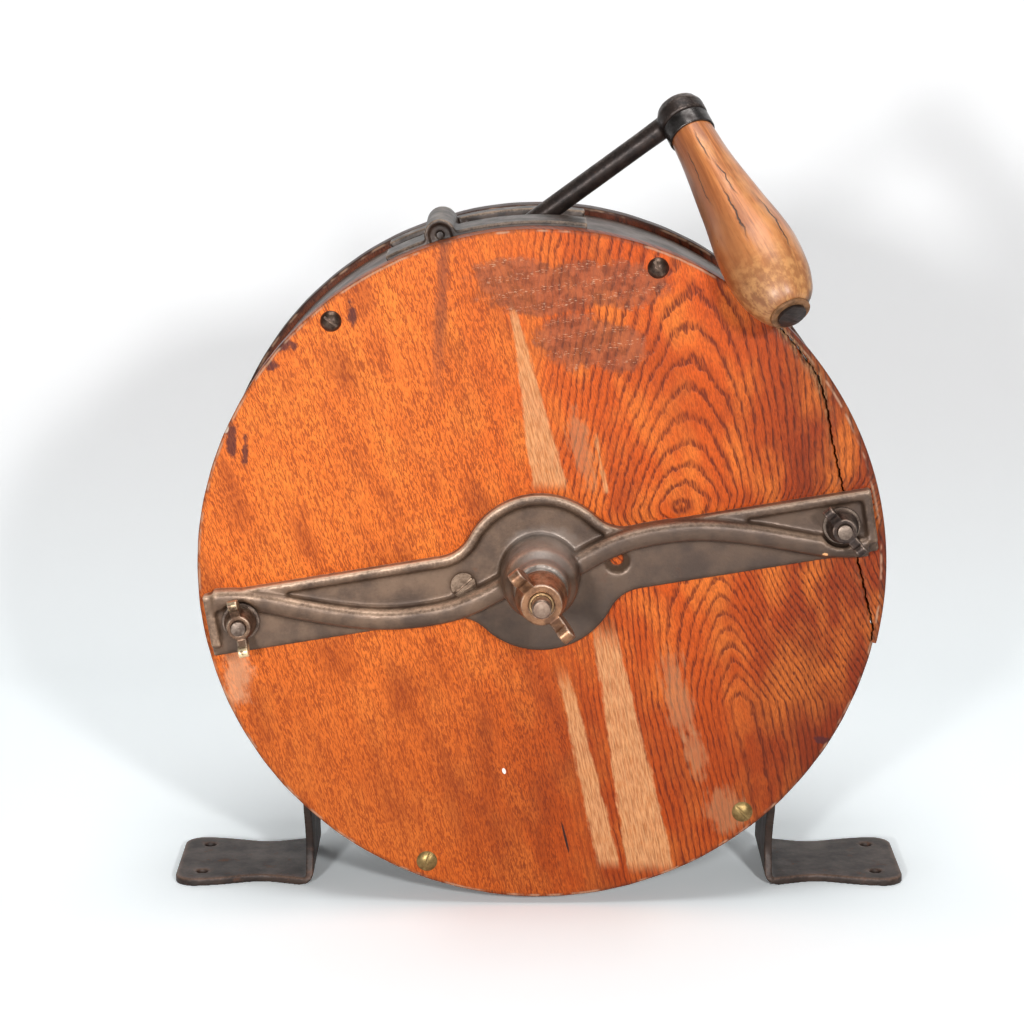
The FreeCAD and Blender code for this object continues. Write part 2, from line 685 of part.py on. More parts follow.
def rear_bar():
    """Plate, two straight ribs and a short boss for the spindle's bush."""
    end = BOSS_RADIUS - REAR_BOSS_TAPER
    boss = turned([(0, 0), (BOSS_RADIUS, 0), (BOSS_RADIUS, BAR_TOP),
                   (BOSS_RADIUS - REAR_BOSS_TAPER / 2, REAR_BOSS_TAPER / 2 - REAR_BOSS_LENGTH),
                   (end, -REAR_BOSS_LENGTH), (0, -REAR_BOSS_LENGTH)])
    bar = bar_plate().fuse(both_arms(straight_rib()) + [boss])
    cuts = nut_recesses() + tie_holes() + bar_screw_holes()
    cuts += [rod(SPINDLE_RADIUS + BUSH_WALL + SEAT, -REAR_BOSS_LENGTH - 1, 1)]
    solid = bar.cut(cuts).removeSplitter().rotated(V(0, 0, 0), V(0, 0, 1), 180)
    solid.translate(V(0, REAR_FACE, 0))
    return clocked(solid)


save("front_bar", front_bar())
save("rear_bar", rear_bar())

bar_screw = flat_screw(BAR_HEAD_RADIUS, BAR_SHANK, BAR_SCREW_LENGTH, BAR_SLOT_ANGLE)
rear_screws = [placed(bar_screw, side * BAR_SCREW_OFFSET, REAR_PLATE, 0, True) for side in (-1, 1)]
save("bar_screw", clocked(placed(bar_screw, -BAR_SCREW_OFFSET, -BAR_PLATE, 0)))
save("rear_bar_screws", *[clocked(screw) for screw in rear_screws])


# Tie bolts, with square heads behind the rear bar and wing nuts in front

WASHER_BACK = -BAR_PLATE - SEAT
WASHER_FRONT = WASHER_BACK - WASHER_THICK
NUT_SEAT = WASHER_FRONT - SEAT
TIE_FRONT = NUT_SEAT - WING_NUT_HEIGHT - TIE_STUB


def tie_bolt(place):
    half = TIE_HEAD / 2
    head = slab(-half, half, REAR_PLATE + SEAT, REAR_PLATE + TIE_HEAD_THICK, -half, half)
    bolt = rod(TIE_RADIUS, TIE_FRONT, REAR_PLATE + 1).fuse(about_axis(head, BAR_TILT))
    bolt.translate(place)
    return bolt


def at_tie(shape, place, angle=0.0):
    result = about_axis(shape, angle)
    result.translate(place)
    return result


tie_washer = tube(WASHER_RADIUS, TIE_RADIUS + RUNNING, WASHER_FRONT, WASHER_BACK)
tie_nut = wing_nut(TIE_RADIUS + RUNNING, WING_NUT_RADIUS, WING_NUT_TOP, WING_NUT_HEIGHT, WING_NUT_SPAN,
                   WING_NUT_EAR, NUT_SEAT)
right_tie, left_tie = tie_places()
save("tie_bolts", tie_bolt(left_tie), tie_bolt(right_tie))
save("left_washer", at_tie(tie_washer, left_tie))
save("right_washer", at_tie(tie_washer, right_tie))
save("left_wing_nut", at_tie(tie_nut, left_tie, LEFT_NUT_ANGLE))
save("right_wing_nut", at_tie(tie_nut, right_tie, RIGHT_NUT_ANGLE))


# Feet: flat iron bent to a pierced foot plate, a leg and a saddle under the hoop

SADDLE_HALF = DRUM_GAP / 2 - PLAY


def waisted(along, half_widths, plane_point):
    """Closed face between two mirrored curves through the given half widths."""
    sides = []
    for side in (-1, 1):
        curve = Part.BSplineCurve()
        curve.interpolate([plane_point(step, side * half) for step, half in zip(along, half_widths)])
        sides.append(curve.toShape())
    ends = [Part.LineSegment(plane_point(step, -half), plane_point(step, half)).toShape()
            for step, half in ((along[0], half_widths[0]), (along[-1], half_widths[-1]))]
    return Part.Face(Part.Wire([sides[0], ends[1], sides[1], ends[0]]))


def foot_plate(inner, floor):
    """The waisted plate on the table, rounded at its outer corners."""
    wide, narrow = FOOT_WIDTH / 2, FOOT_WAIST / 2
    between = (wide + narrow) / 2
    steps = [share * FOOT_WAIST_AT for share in (0, 0.5, 1, 1.6, 2.2)] + [FOOT_REACH - inner]
    halves = [wide, between, narrow, between, wide, wide]
    face = waisted(steps, halves, lambda step, half: V(inner + step, MIDDLE + half, floor))
    plate = face.extrude(V(0, 0, FOOT_IRON))
    corners = [edge for edge in plate.Edges
               if edge.BoundBox.XMin > FOOT_REACH - 1 and edge.BoundBox.YLength < 1]
    return plate.makeFillet(FOOT_CORNER, corners)


def foot_leg(inner, floor):
    """The leg, waisted low down and widening to the full gap between the discs."""
    wide, narrow = FOOT_WIDTH / 2, LEG_WAIST / 2
    rise = -math.sqrt(SADDLE_INSIDE ** 2 - inner ** 2) - floor
    steps = [share * LEG_WAIST_HEIGHT for share in (0, 0.5, 1, 1.6)] + [rise * 0.8, rise]
    halves = [wide, (wide + narrow) / 2, narrow, narrow + 2, SADDLE_HALF - 3, SADDLE_HALF]
    face = waisted(steps, halves, lambda step, half: V(inner, MIDDLE + half, floor + step))
    return face.extrude(V(FOOT_IRON, 0, 0)).cut(rod(SADDLE_INSIDE, 0, DRUM_DEPTH))


def right_foot():
    floor = -AXIS_HEIGHT
    wide = FOOT_WIDTH / 2
    inner = FOOT_FACE - FOOT_IRON
    start = math.degrees(math.acos(FOOT_FACE / SADDLE_OUTSIDE))
    front, back = MIDDLE - SADDLE_HALF, MIDDLE + SADDLE_HALF
    saddle = ring_sector(SADDLE_INSIDE, SADDLE_OUTSIDE, front, back, -SADDLE_END, -start)
    bend_block = slab(inner, inner + FOOT_BEND, MIDDLE - wide, MIDDLE + wide, floor, floor + FOOT_BEND)
    bend_keep = rod(FOOT_BEND, MIDDLE - wide, MIDDLE + wide, inner + FOOT_BEND, floor + FOOT_BEND)
    foot = foot_plate(inner, floor).fuse([foot_leg(inner, floor), saddle]).cut(bend_block.cut(bend_keep))
    hole_x = FOOT_REACH - FOOT_HOLE_INSET
    holes = [Part.makeCylinder(FOOT_HOLE_RADIUS, FOOT_IRON + 2, V(hole_x, MIDDLE + aside, floor - 1))
             for aside in (-FOOT_HOLE_SPACING / 2, FOOT_HOLE_SPACING / 2)]
    return foot.cut(holes + foot_screw_holes[:2]).removeSplitter()


foot = right_foot()
save("foot_right", foot)
save("foot_left", mirrored(foot))
foot_screw = flat_screw(FOOT_SCREW_HEAD, EDGE_SHANK, FOOT_SCREW_LENGTH, BAR_SLOT_ANGLE)
save("foot_screws", *[radial(foot_screw, angle, depth) for angle, depth in foot_screw_places()])


# Slot guard

def arch_shape(radius, front, back):
    """Half-round barrel on straight flanks, its axis along the drum's, above the guard's plate."""
    base = HOOP_RADIUS - THROUGH
    flank = slab(-radius, radius, front, back, base, ARCH_AXIS)
    barrel = rod(radius, front, back, 0, ARCH_AXIS).fuse(flank)
    return about_axis(barrel, ARCH_ANGLE - 90)


def guard_ring(inner, outer, front, back):
    return ring_sector(inner, outer, front, back, GUARD_START, GUARD_END)


def guard_rails():
    """Rail in front of the throat, rounded along its top, and a plain rail behind it."""
    front_rail = guard_ring(GUARD_OUTSIDE - 1, RAIL_TOP, GUARD_FRONT, SLOT_FRONT)
    lips = [edge for edge in front_rail.Edges
            if edge.Length > 12 * THROUGH and edge.BoundBox.YLength < 1 and edge.BoundBox.ZMax > RAIL_TOP - 1]
    front_rail = front_rail.makeFillet(RAIL_ROUND, lips)
    return [front_rail, guard_ring(GUARD_OUTSIDE - 1, RAIL_TOP, SLOT_BACK, REAR_RAIL_BACK)]


def slot_guard():
    """Curved plate with two rails along the throat and a hollow arch bridging its closed end."""
    plate = guard_ring(GUARD_INSIDE, GUARD_OUTSIDE, GUARD_FRONT, REAR_CHEEK_FRONT - PLAY)
    arch = arch_shape(ARCH_RADIUS, GUARD_FRONT, ARCH_BACK).cut(rod(GUARD_INSIDE, 0, REAR_FACE))
    bore = ARCH_RADIUS - ARCH_WALL
    hollow = arch_shape(bore, GUARD_FRONT + ARCH_WEB, ARCH_BACK + 1)
    dish = arch_shape(bore, GUARD_FRONT - 1, GUARD_FRONT + ARCH_WEB / 2)
    below = rod(GUARD_OUTSIDE, 0, REAR_FACE)
    throat = ring_sector(GUARD_INSIDE - 1, RAIL_TOP + 1, SLOT_FRONT, SLOT_BACK, SLOT_START, SLOT_END)
    pin_hole = about_axis(rod(ARCH_PIN + SEAT, 0, ARCH_BACK, 0, ARCH_AXIS), ARCH_ANGLE - 90)
    guard = plate.fuse(guard_rails() + [arch]).cut([hollow.cut(below), dish.cut(below)])
    return guard.cut([throat, pin_hole] + guard_rivet_holes()).removeSplitter()


save("slot_guard", clocked(slot_guard()))
arch_pin = rod(ARCH_PIN, GUARD_FRONT + SEAT, ARCH_BACK - SEAT, 0, ARCH_AXIS)
save("guard_pin", clocked(about_axis(arch_pin, ARCH_ANGLE - 90)))


def guard_rivet(angle, depth):
    """Domed rivet through the guard's plate and the hoop, clenched inside."""
    outward = polar(1, angle)
    foot = polar(HOOP_INSIDE - SEAT, angle, depth)
    top = polar(GUARD_OUTSIDE + SEAT, angle, depth)
    shank = Part.makeCylinder(RIVET_RADIUS, GUARD_OUTSIDE - HOOP_INSIDE + 2 * SEAT, foot, outward)
    head = Part.makeCone(RIVET_HEAD, RIVET_RADIUS, RIVET_CROWN, top, outward)
    clench = Part.makeCone(RIVET_HEAD, RIVET_RADIUS, RIVET_CROWN, foot, -outward)
    return shank.fuse([head, clench])


save("guard_rivets", *[clocked(guard_rivet(angle, depth)) for angle, depth in guard_rivet_places()])


# Spindle, running in the adjuster in front and in a bronze bush behind

def spindle():
    """Stepped steel spindle: long front journal, body through both wheels, and the crank's stud behind."""
    profile = [(0, JOURNAL_FRONT), (JOURNAL_RADIUS - JOURNAL_EDGE, JOURNAL_FRONT),
               (JOURNAL_RADIUS, JOURNAL_FRONT + JOURNAL_EDGE), (JOURNAL_RADIUS, SLEEVE_INNER_END),
               (SPINDLE_RADIUS, SLEEVE_INNER_END + PLAY), (SPINDLE_RADIUS, STUD_START),
               (STUD_RADIUS, STUD_START), (STUD_RADIUS, STUD_END), (0, STUD_END)]
    return turned(profile).cut(hub_pin_hole())


def hub_pin_hole():
    return Part.makeCylinder(HUB_PIN_RADIUS + SEAT, 4 * HUB_NECK, V(0, HUB_PIN_AT, -2 * HUB_NECK), V(0, 0, 1))


KEEPER_BACK = REAR_CHEEK_FRONT - PLAY
KEEPER_FRONT = KEEPER_BACK - KEEPER_LENGTH
HUB_PIN_AT = (KEEPER_FRONT + KEEPER_BACK) / 2

save("spindle", spindle())
save("rear_bush", tube(SPINDLE_RADIUS + BUSH_WALL, SPINDLE_RADIUS + RUNNING, REAR_CHEEK_FRONT, REAR_BOSS_END))
keeper = tube(KEEPER_RADIUS, SPINDLE_RADIUS + RUNNING, KEEPER_FRONT, KEEPER_BACK).cut(hub_pin_hole())
save("spindle_collar", keeper)
save("collar_pin", Part.makeCylinder(HUB_PIN_RADIUS, 2 * KEEPER_RADIUS, V(0, HUB_PIN_AT, -KEEPER_RADIUS)))


# Buff wheels: a beech board, a leather pad and a ring of bristle on each, screwed to an iron hub

def hub_screw_places():
    return [polar(HUB_SCREW_CIRCLE, 90 + index * 360 / HUB_SCREWS) for index in range(HUB_SCREWS)]


def wheel(board_outer_face, board_inner_face, facing_face, hub_far):
    """Board, pad, brush and hub from their stations; facing_face is the side towards the other wheel."""
    inward = 1 if facing_face > board_inner_face else -1
    flange_face = board_outer_face - inward * HUB_FLANGE
    board_span = sorted((board_outer_face, board_inner_face))
    facing_span = sorted((board_inner_face, facing_face))
    drill_span = sorted((flange_face - inward, board_inner_face + inward))
    drills = [rod(EDGE_SHANK + SEAT, *drill_span, place.x, place.z) for place in hub_screw_places()]
    board = tube(WHEEL_RADIUS, HUB_NECK + SEAT, *board_span).cut(drills)
    pad = tube(PAD_OUTER, PAD_INNER, *facing_span)
    brush = tube(BRUSH_OUTER, BRUSH_INNER, *facing_span)
    flange = rod(HUB_RADIUS, *sorted((flange_face, board_outer_face)))
    neck = rod(HUB_NECK, *sorted((hub_far, board_inner_face)))
    bore = rod(SPINDLE_RADIUS + RUNNING, 0, REAR_FACE)
    hub = flange.fuse(neck).cut([bore] + drills).removeSplitter()
    screw = round_screw(HUB_SCREW_HEAD, EDGE_SHANK, HUB_FLANGE + WHEEL_BOARD - 2, BAR_SLOT_ANGLE, LOW_RISE)
    screws = [placed(screw, place.x, flange_face, place.z, inward < 0) for place in hub_screw_places()]
    return board, pad, brush, hub, screws


FRONT_HUB_FRONT = CUP_BACK + SEAT
wheels = {"front": wheel(FRONT_BOARD_FRONT, FRONT_BOARD_BACK, FRONT_FACING_BACK, FRONT_HUB_FRONT),
          "rear": wheel(REAR_BOARD_BACK, REAR_BOARD_FRONT, REAR_FACING_FRONT, KEEPER_FRONT - SEAT)}
for end, (board, pad, brush, hub, screws) in wheels.items():
    save(end + "_buff_board", board)
    save(end + "_buff_leather", pad)
    save(end + "_buff_bristle", brush)
    save(end + "_buff_hub", hub)
    save(end + "_hub_screws", *screws)


def pressure_spring():
    """Coil that pushes the wheels apart, between the two hubs."""
    start = FRONT_BOARD_BACK + SPRING_WIRE + PLAY
    length = REAR_BOARD_FRONT - SPRING_WIRE - PLAY - start
    helix = Part.makeHelix(length / SPRING_TURNS, length, SPRING_RADIUS)
    section = Part.Wire([Part.Circle(V(SPRING_RADIUS, 0, 0), V(0, 1, 0), SPRING_WIRE).toShape()])
    coil = Part.Wire(helix).makePipeShell([section], True, True)
    coil.rotate(V(0, 0, 0), V(1, 0, 0), -90)
    coil.translate(V(0, start, 0))
    return coil


save("pressure_spring", pressure_spring())


# Pressure adjuster: winged sleeve, its brass bushing, and the bronze cup that it pushes

BUSHING_RADIUS = JOURNAL_RADIUS + BUSHING_WALL


def adjuster():
    bore = BUSHING_RADIUS + SEAT / 2
    wing = wing_nut(bore, ADJUSTER_RADIUS, ADJUSTER_TOP, ADJUSTER_HEIGHT, ADJUSTER_SPAN, ADJUSTER_EAR,
                    ADJUSTER_BACK)
    sleeve = tube(SLEEVE_RADIUS, bore, ADJUSTER_BACK - 1, SLEEVE_INNER_END)
    return about_axis(wing.fuse(sleeve).removeSplitter(), ADJUSTER_ANGLE)


bushing = tube(BUSHING_RADIUS, JOURNAL_RADIUS + RUNNING, ADJUSTER_FRONT - BUSHING_STAND, SLEEVE_INNER_END)
save("adjuster", adjuster())
save("adjuster_bushing", bushing)
save("thrust_cup", tube(CUP_RADIUS, SPINDLE_RADIUS + PLAY, CUP_FRONT, CUP_BACK))


# Crank, drawn along its own arm: knuckle at the origin, eye at -ARM_LENGTH on X, grip along +Y

KNUCKLE_AT = ARM_CROSSING + ARM_RUN
GRIP_AXIS = (GRIP_LEAN - ARM_AXIS * GRIP_LEAN.dot(ARM_AXIS)).normalize()


def crank_place(shape):
    """From the crank's own drawing to where it is stowed."""
    return aimed(shape, KNUCKLE_AT, GRIP_AXIS, ARM_AXIS.cross(GRIP_AXIS))


def crank_arm():
    """Round arm with a flat eye at one end and a domed lump for the grip's pin at the other."""
    arm_start = V(EYE_RADIUS - 2 - ARM_LENGTH, 0, 0)
    arm = Part.makeCylinder(ARM_RADIUS, ARM_LENGTH - EYE_RADIUS, arm_start, V(1, 0, 0))
    neck = Part.makeCone(ARM_RADIUS, KNUCKLE_HALF - PLAY, NECK_LENGTH, V(-NECK_LENGTH, 0, 0), V(1, 0, 0))
    rim = KNUCKLE_RADIUS - KNUCKLE_EDGE
    knuckle = turned([(0, KNUCKLE_HALF), (rim, KNUCKLE_HALF), (KNUCKLE_RADIUS, KNUCKLE_HALF - KNUCKLE_EDGE),
                      (KNUCKLE_RADIUS, -1), (rim - 0.6, -KNUCKLE_HALF + 1.2), (rim - 4, -KNUCKLE_HALF - 1),
                      (0, -KNUCKLE_HALF - KNUCKLE_DOME)])
    eye = rod(EYE_RADIUS, -EYE_THICK / 2, EYE_THICK / 2, -ARM_LENGTH)
    bore = rod(STUD_RADIUS + EYE_CLEAR, -EYE_THICK, EYE_THICK, -ARM_LENGTH)
    seat = rod(PIN_TENON + SEAT, 0, KNUCKLE_HALF + 1)
    return arm.fuse([neck, knuckle, eye]).cut([bore, seat]).removeSplitter()


GRIP_START = KNUCKLE_HALF + PLAY
GRIP_FINISH = GRIP_START + FERRULE_LENGTH + GRIP_LENGTH
FERRULE_SEAT = GRIP_NECK - FERRULE_STEP

# Turned profile of the grip: radius, and share of its length from the ferrule
GRIP_PROFILE = ((GRIP_NECK, 0), (GRIP_NECK + 1.2, 0.136), ((GRIP_NECK + GRIP_BULB) / 2 + 0.4, 0.406),
                (GRIP_BULB, 0.738), (GRIP_BULB - 1.8, 0.883), (GRIP_END, 1))


def grip():
    """Pear-shaped turned grip, bored for its pin."""
    neck_end = GRIP_START + FERRULE_LENGTH
    curve = Part.BSplineCurve()
    curve.interpolate([V(radius, neck_end + share * GRIP_LENGTH, 0) for radius, share in GRIP_PROFILE])
    bore = PIN_RADIUS + RUNNING
    outline = [V(GRIP_END, GRIP_FINISH, 0), V(bore, GRIP_FINISH, 0), V(bore, GRIP_START, 0),
               V(FERRULE_SEAT, GRIP_START, 0), V(FERRULE_SEAT, neck_end, 0), V(GRIP_NECK, neck_end, 0)]
    face = Part.Face(Part.Wire([curve.toShape()] + Part.makePolygon(outline).Edges))
    return face.revolve(V(0, 0, 0), V(0, 1, 0), 360)


def grip_pin():
    """Steel pin riveted into the knuckle, with a flat head under the grip's end."""
    head_at = GRIP_FINISH + GRIP_WASHER + SEAT
    tenon = rod(PIN_TENON, SEAT * 2, KNUCKLE_HALF + 1)
    head = rod(PIN_HEAD_RADIUS, head_at, head_at + PIN_HEAD)
    return rod(PIN_RADIUS, KNUCKLE_HALF + SEAT, head_at).fuse([tenon, head])


ferrule = tube(GRIP_NECK + FERRULE_WALL, FERRULE_SEAT + SEAT, GRIP_START, GRIP_START + FERRULE_LENGTH - SEAT)
washer = tube(GRIP_WASHER_RADIUS, PIN_RADIUS + RUNNING, GRIP_FINISH + SEAT / 2, GRIP_FINISH + GRIP_WASHER)
save("crank_arm", crank_place(crank_arm()))
save("grip_pin", crank_place(grip_pin()))
save("grip", crank_place(grip()))
save("ferrule", crank_place(ferrule))
save("grip_washer", crank_place(washer))
print("frame: move by", -FRAME_MIDDLE, AXIS_HEIGHT, "arm axis", ARM_AXIS, "grip axis", GRIP_AXIS)
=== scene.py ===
import bmesh
import bpy
import numpy as np
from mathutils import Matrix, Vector


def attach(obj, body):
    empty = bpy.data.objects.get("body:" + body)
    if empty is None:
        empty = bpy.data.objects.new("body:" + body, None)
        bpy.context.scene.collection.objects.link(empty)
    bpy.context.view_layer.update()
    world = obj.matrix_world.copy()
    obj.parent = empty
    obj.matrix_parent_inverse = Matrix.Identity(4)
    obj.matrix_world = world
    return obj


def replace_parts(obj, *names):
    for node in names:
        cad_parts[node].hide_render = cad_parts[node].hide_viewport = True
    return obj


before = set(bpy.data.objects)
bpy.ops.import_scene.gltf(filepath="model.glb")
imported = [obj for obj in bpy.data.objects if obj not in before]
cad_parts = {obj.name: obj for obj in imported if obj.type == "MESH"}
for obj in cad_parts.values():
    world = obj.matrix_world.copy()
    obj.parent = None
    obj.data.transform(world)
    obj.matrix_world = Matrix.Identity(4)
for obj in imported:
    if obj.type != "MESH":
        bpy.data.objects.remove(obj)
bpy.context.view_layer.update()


# Front disc
# A turned oak board, 13 mm thick, that has split along its grain near the right edge. The strip that
# came away is held by the bar's end and sits 1.6 mm out. Orange shellac, worn pale in long streaks.
# Lengths are in mm, and a place on the wood's face is given from the spindle.

SPINDLE_HEIGHT = 155.6
TILT = np.radians(9.3)
RIM = 152.5
FRONT_FACE, FRONT_BACK = -37.5, -24.5
SPIGOT_HOLE = 16.1
STRIP_SHIFT = 1.6
SPLIT_GAP = 0.7
RIM_STEPS, STRIP_STEPS = 1080, 420
SPLIT = np.array([(103.2, 110.2), (110.8, 101.9), (116.2, 94.8), (121.2, 87.7), (124.9, 76.6), (127.9, 60.0),
                  (130.8, 47.9), (133.8, 35.3), (140.9, 4.0), (144.9, -12.4), (148.4, -27.4), (147.4, -32.7)])


def piece(name, points, faces, body, sharp=35.0):
    """A mesh object from points in mm, with merged seams, outward faces and smooth shading up to an angle."""
    mesh = bpy.data.meshes.new(name)
    mesh.from_pydata((np.asarray(points, float).reshape(-1, 3) * 0.001).tolist(), [], faces)
    made = bpy.data.objects.new(name, mesh)
    bpy.context.scene.collection.objects.link(made)
    tidy_mesh(mesh, sharp)
    return carried(made, body)


def tidy_mesh(mesh, sharp, outward=True):
    """Merges doubles, turns the faces outwards and shades smooth up to an angle in degrees."""
    work = bmesh.new()
    work.from_mesh(mesh)
    bmesh.ops.remove_doubles(work, verts=work.verts, dist=2e-6)
    if outward:
        bmesh.ops.recalc_face_normals(work, faces=work.faces)
    work.to_mesh(mesh)
    work.free()
    mesh.shade_smooth()
    mesh.set_sharp_from_angle(angle=np.radians(sharp))


def carried(made, body):
    """The piece rides on its body."""
    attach(made, body)
    return made


def grid_faces(rows, columns, close_rows=True, close_columns=True):
    """Quads between neighbours of a rows by columns grid; a closed side joins its last line to its first."""
    row, column = np.meshgrid(np.arange(rows if close_rows else rows - 1),
                              np.arange(columns if close_columns else columns - 1), indexing="ij")
    after, beside = (row + 1) % rows, (column + 1) % columns
    corners = [line * columns + place for line, place in ((row, column), (after, column), (after, beside),
                                                          (row, beside))]
    return np.stack(corners, -1).reshape(-1, 4).tolist()


def ragged(steps, seed, sizes):
    """Smooth seeded noise round a rim: a sum of sines with whole numbers of waves, so that it closes."""
    draw = np.random.default_rng(seed)
    along = np.linspace(0, 2 * np.pi, steps, endpoint=False)
    return sum(size * np.sin(waves * along + draw.uniform(0, 2 * np.pi)) for waves, size in sizes)


def board(inner, outer, angles, front, back, closed, rounding=1.0):
    """Flat board between two radii that depend on the angle, as a closed section carried round the spindle.

    point(angle, section) = radius * (cos, sin), with the section going along the front face from the inner
    to the outer edge, round the rim's two worn corners, back along the rear face and through the hole.
    """
    near_rim = np.array([12, 7, 4.5, 3, 2, 1.3, 0.7])
    shares = np.linspace(0, 1, 12)
    turn = np.linspace(0, np.pi / 2, 6)
    span = (outer - inner)[:, None]
    if closed:
        middle = inner[:, None] + (span - near_rim[0]) * shares[None, :]
        flat = np.concatenate([middle, outer[:, None] - near_rim[None, 1:]], 1)
    else:
        flat = inner[:, None] + span * 0.8 * shares[None, :]
    soft = np.minimum(rounding, span * 0.3)
    corner = outer[:, None] - soft * (1 - np.sin(turn))[None, :]
    sink = soft * (1 - np.cos(turn))[None, :]
    flat = np.minimum(flat, corner[:, :1])
    radius = np.concatenate([flat, corner, corner[:, ::-1], flat[:, ::-1]], 1)
    depth = np.concatenate([np.full_like(flat, front), front + sink, back - sink[:, ::-1],
                            np.full_like(flat, back)], 1)
    return np.stack([radius * np.cos(angles)[:, None], depth, radius * np.sin(angles)[:, None]], -1)


def add_height(points):
    """Lifts points worked out round the spindle to its height above the table."""
    return points + np.array([0, 0, SPINDLE_HEIGHT])


def numbers(mesh, name, values):
    """Stores one number per point on the mesh."""
    layer = mesh.attributes.new(name, "FLOAT", "POINT")
    layer.data.foreach_set("value", np.asarray(values, np.float32))


def points_of(mesh):
    """The mesh's points as an array, in mm."""
    found = np.zeros(len(mesh.vertices) * 3, np.float32)
    mesh.vertices.foreach_get("co", found)
    return found.reshape(-1, 3).astype(float) * 1000


def split_distance(points):
    """Distance of each point from the split's polyline, in mm, seen from the front."""
    flat = points[:, [0, 2]] - np.array([0, SPINDLE_HEIGHT])
    best = np.full(len(flat), 1e3)
    for start, end in zip(SPLIT[:-1], SPLIT[1:]):
        run = end - start
        share = np.clip(((flat - start) @ run) / (run @ run), 0, 1)
        best = np.minimum(best, np.linalg.norm(flat - start - share[:, None] * run, axis=1))
    return best


def mark_split(made):
    """The splintered band beside the split: strongest along its upper third, where wood has chipped off."""
    points = points_of(made.data)
    near = np.exp(-(split_distance(points) / 2.2) ** 2)
    upper = np.clip((points[:, 2] - SPINDLE_HEIGHT - 62) / 22, 0, 1)
    numbers(made.data, "torn", near * (0.25 + 0.75 * upper))


split_angles = np.arctan2(SPLIT[:, 1], SPLIT[:, 0])[::-1]
split_radii = np.hypot(SPLIT[:, 0], SPLIT[:, 1])[::-1]


def split_radius(angles):
    """How far the split lies from the spindle in each direction, with the jagged line of torn fibres.

    radius(angle) = the polyline's own radius + three sines of the angle, of 0.1 to 0.2 mm.
    """
    jag = 0.16 * np.sin(angles * 411 + 1.3) + 0.11 * np.sin(angles * 977) + 0.22 * np.sin(angles * 173 + 0.4)
    return np.interp(angles, split_angles, split_radii) + jag


class Value:
    """A number that changes over a surface: a shader socket with ordinary arithmetic."""

    def __init__(self, finish, socket):
        self.finish, self.socket = finish, socket

    def sum_of(self, operation, *others):
        return self.finish.node("Math", {"operation": operation}, (self,) + others)

    def __add__(self, other):
        return self.sum_of("ADD", other)

    def __sub__(self, other):
        return self.sum_of("SUBTRACT", other)

    def __rsub__(self, other):
        return self.finish.node("Math", {"operation": "SUBTRACT"}, (other, self))

    def __mul__(self, other):
        return self.sum_of("MULTIPLY", other)

    def __truediv__(self, other):
        return self.sum_of("DIVIDE", other)

    def __abs__(self):
        return self.sum_of("ABSOLUTE")

    __radd__, __rmul__ = __add__, __mul__

    def sqrt(self):
        return self.sum_of("SQRT")

    def fract(self):
        return self.sum_of("FRACT")

    def least(self, other):
        return self.sum_of("MINIMUM", other)

    def most(self, other):
        return self.sum_of("MAXIMUM", other)

    def rise(self, low, high, start=0.0, end=1.0):
        """Smooth step from start to end while the value goes from low to high."""
        smooth = {"interpolation_type": "SMOOTHSTEP"}
        return self.finish.node("MapRange", smooth, (self, low, high, start, end))


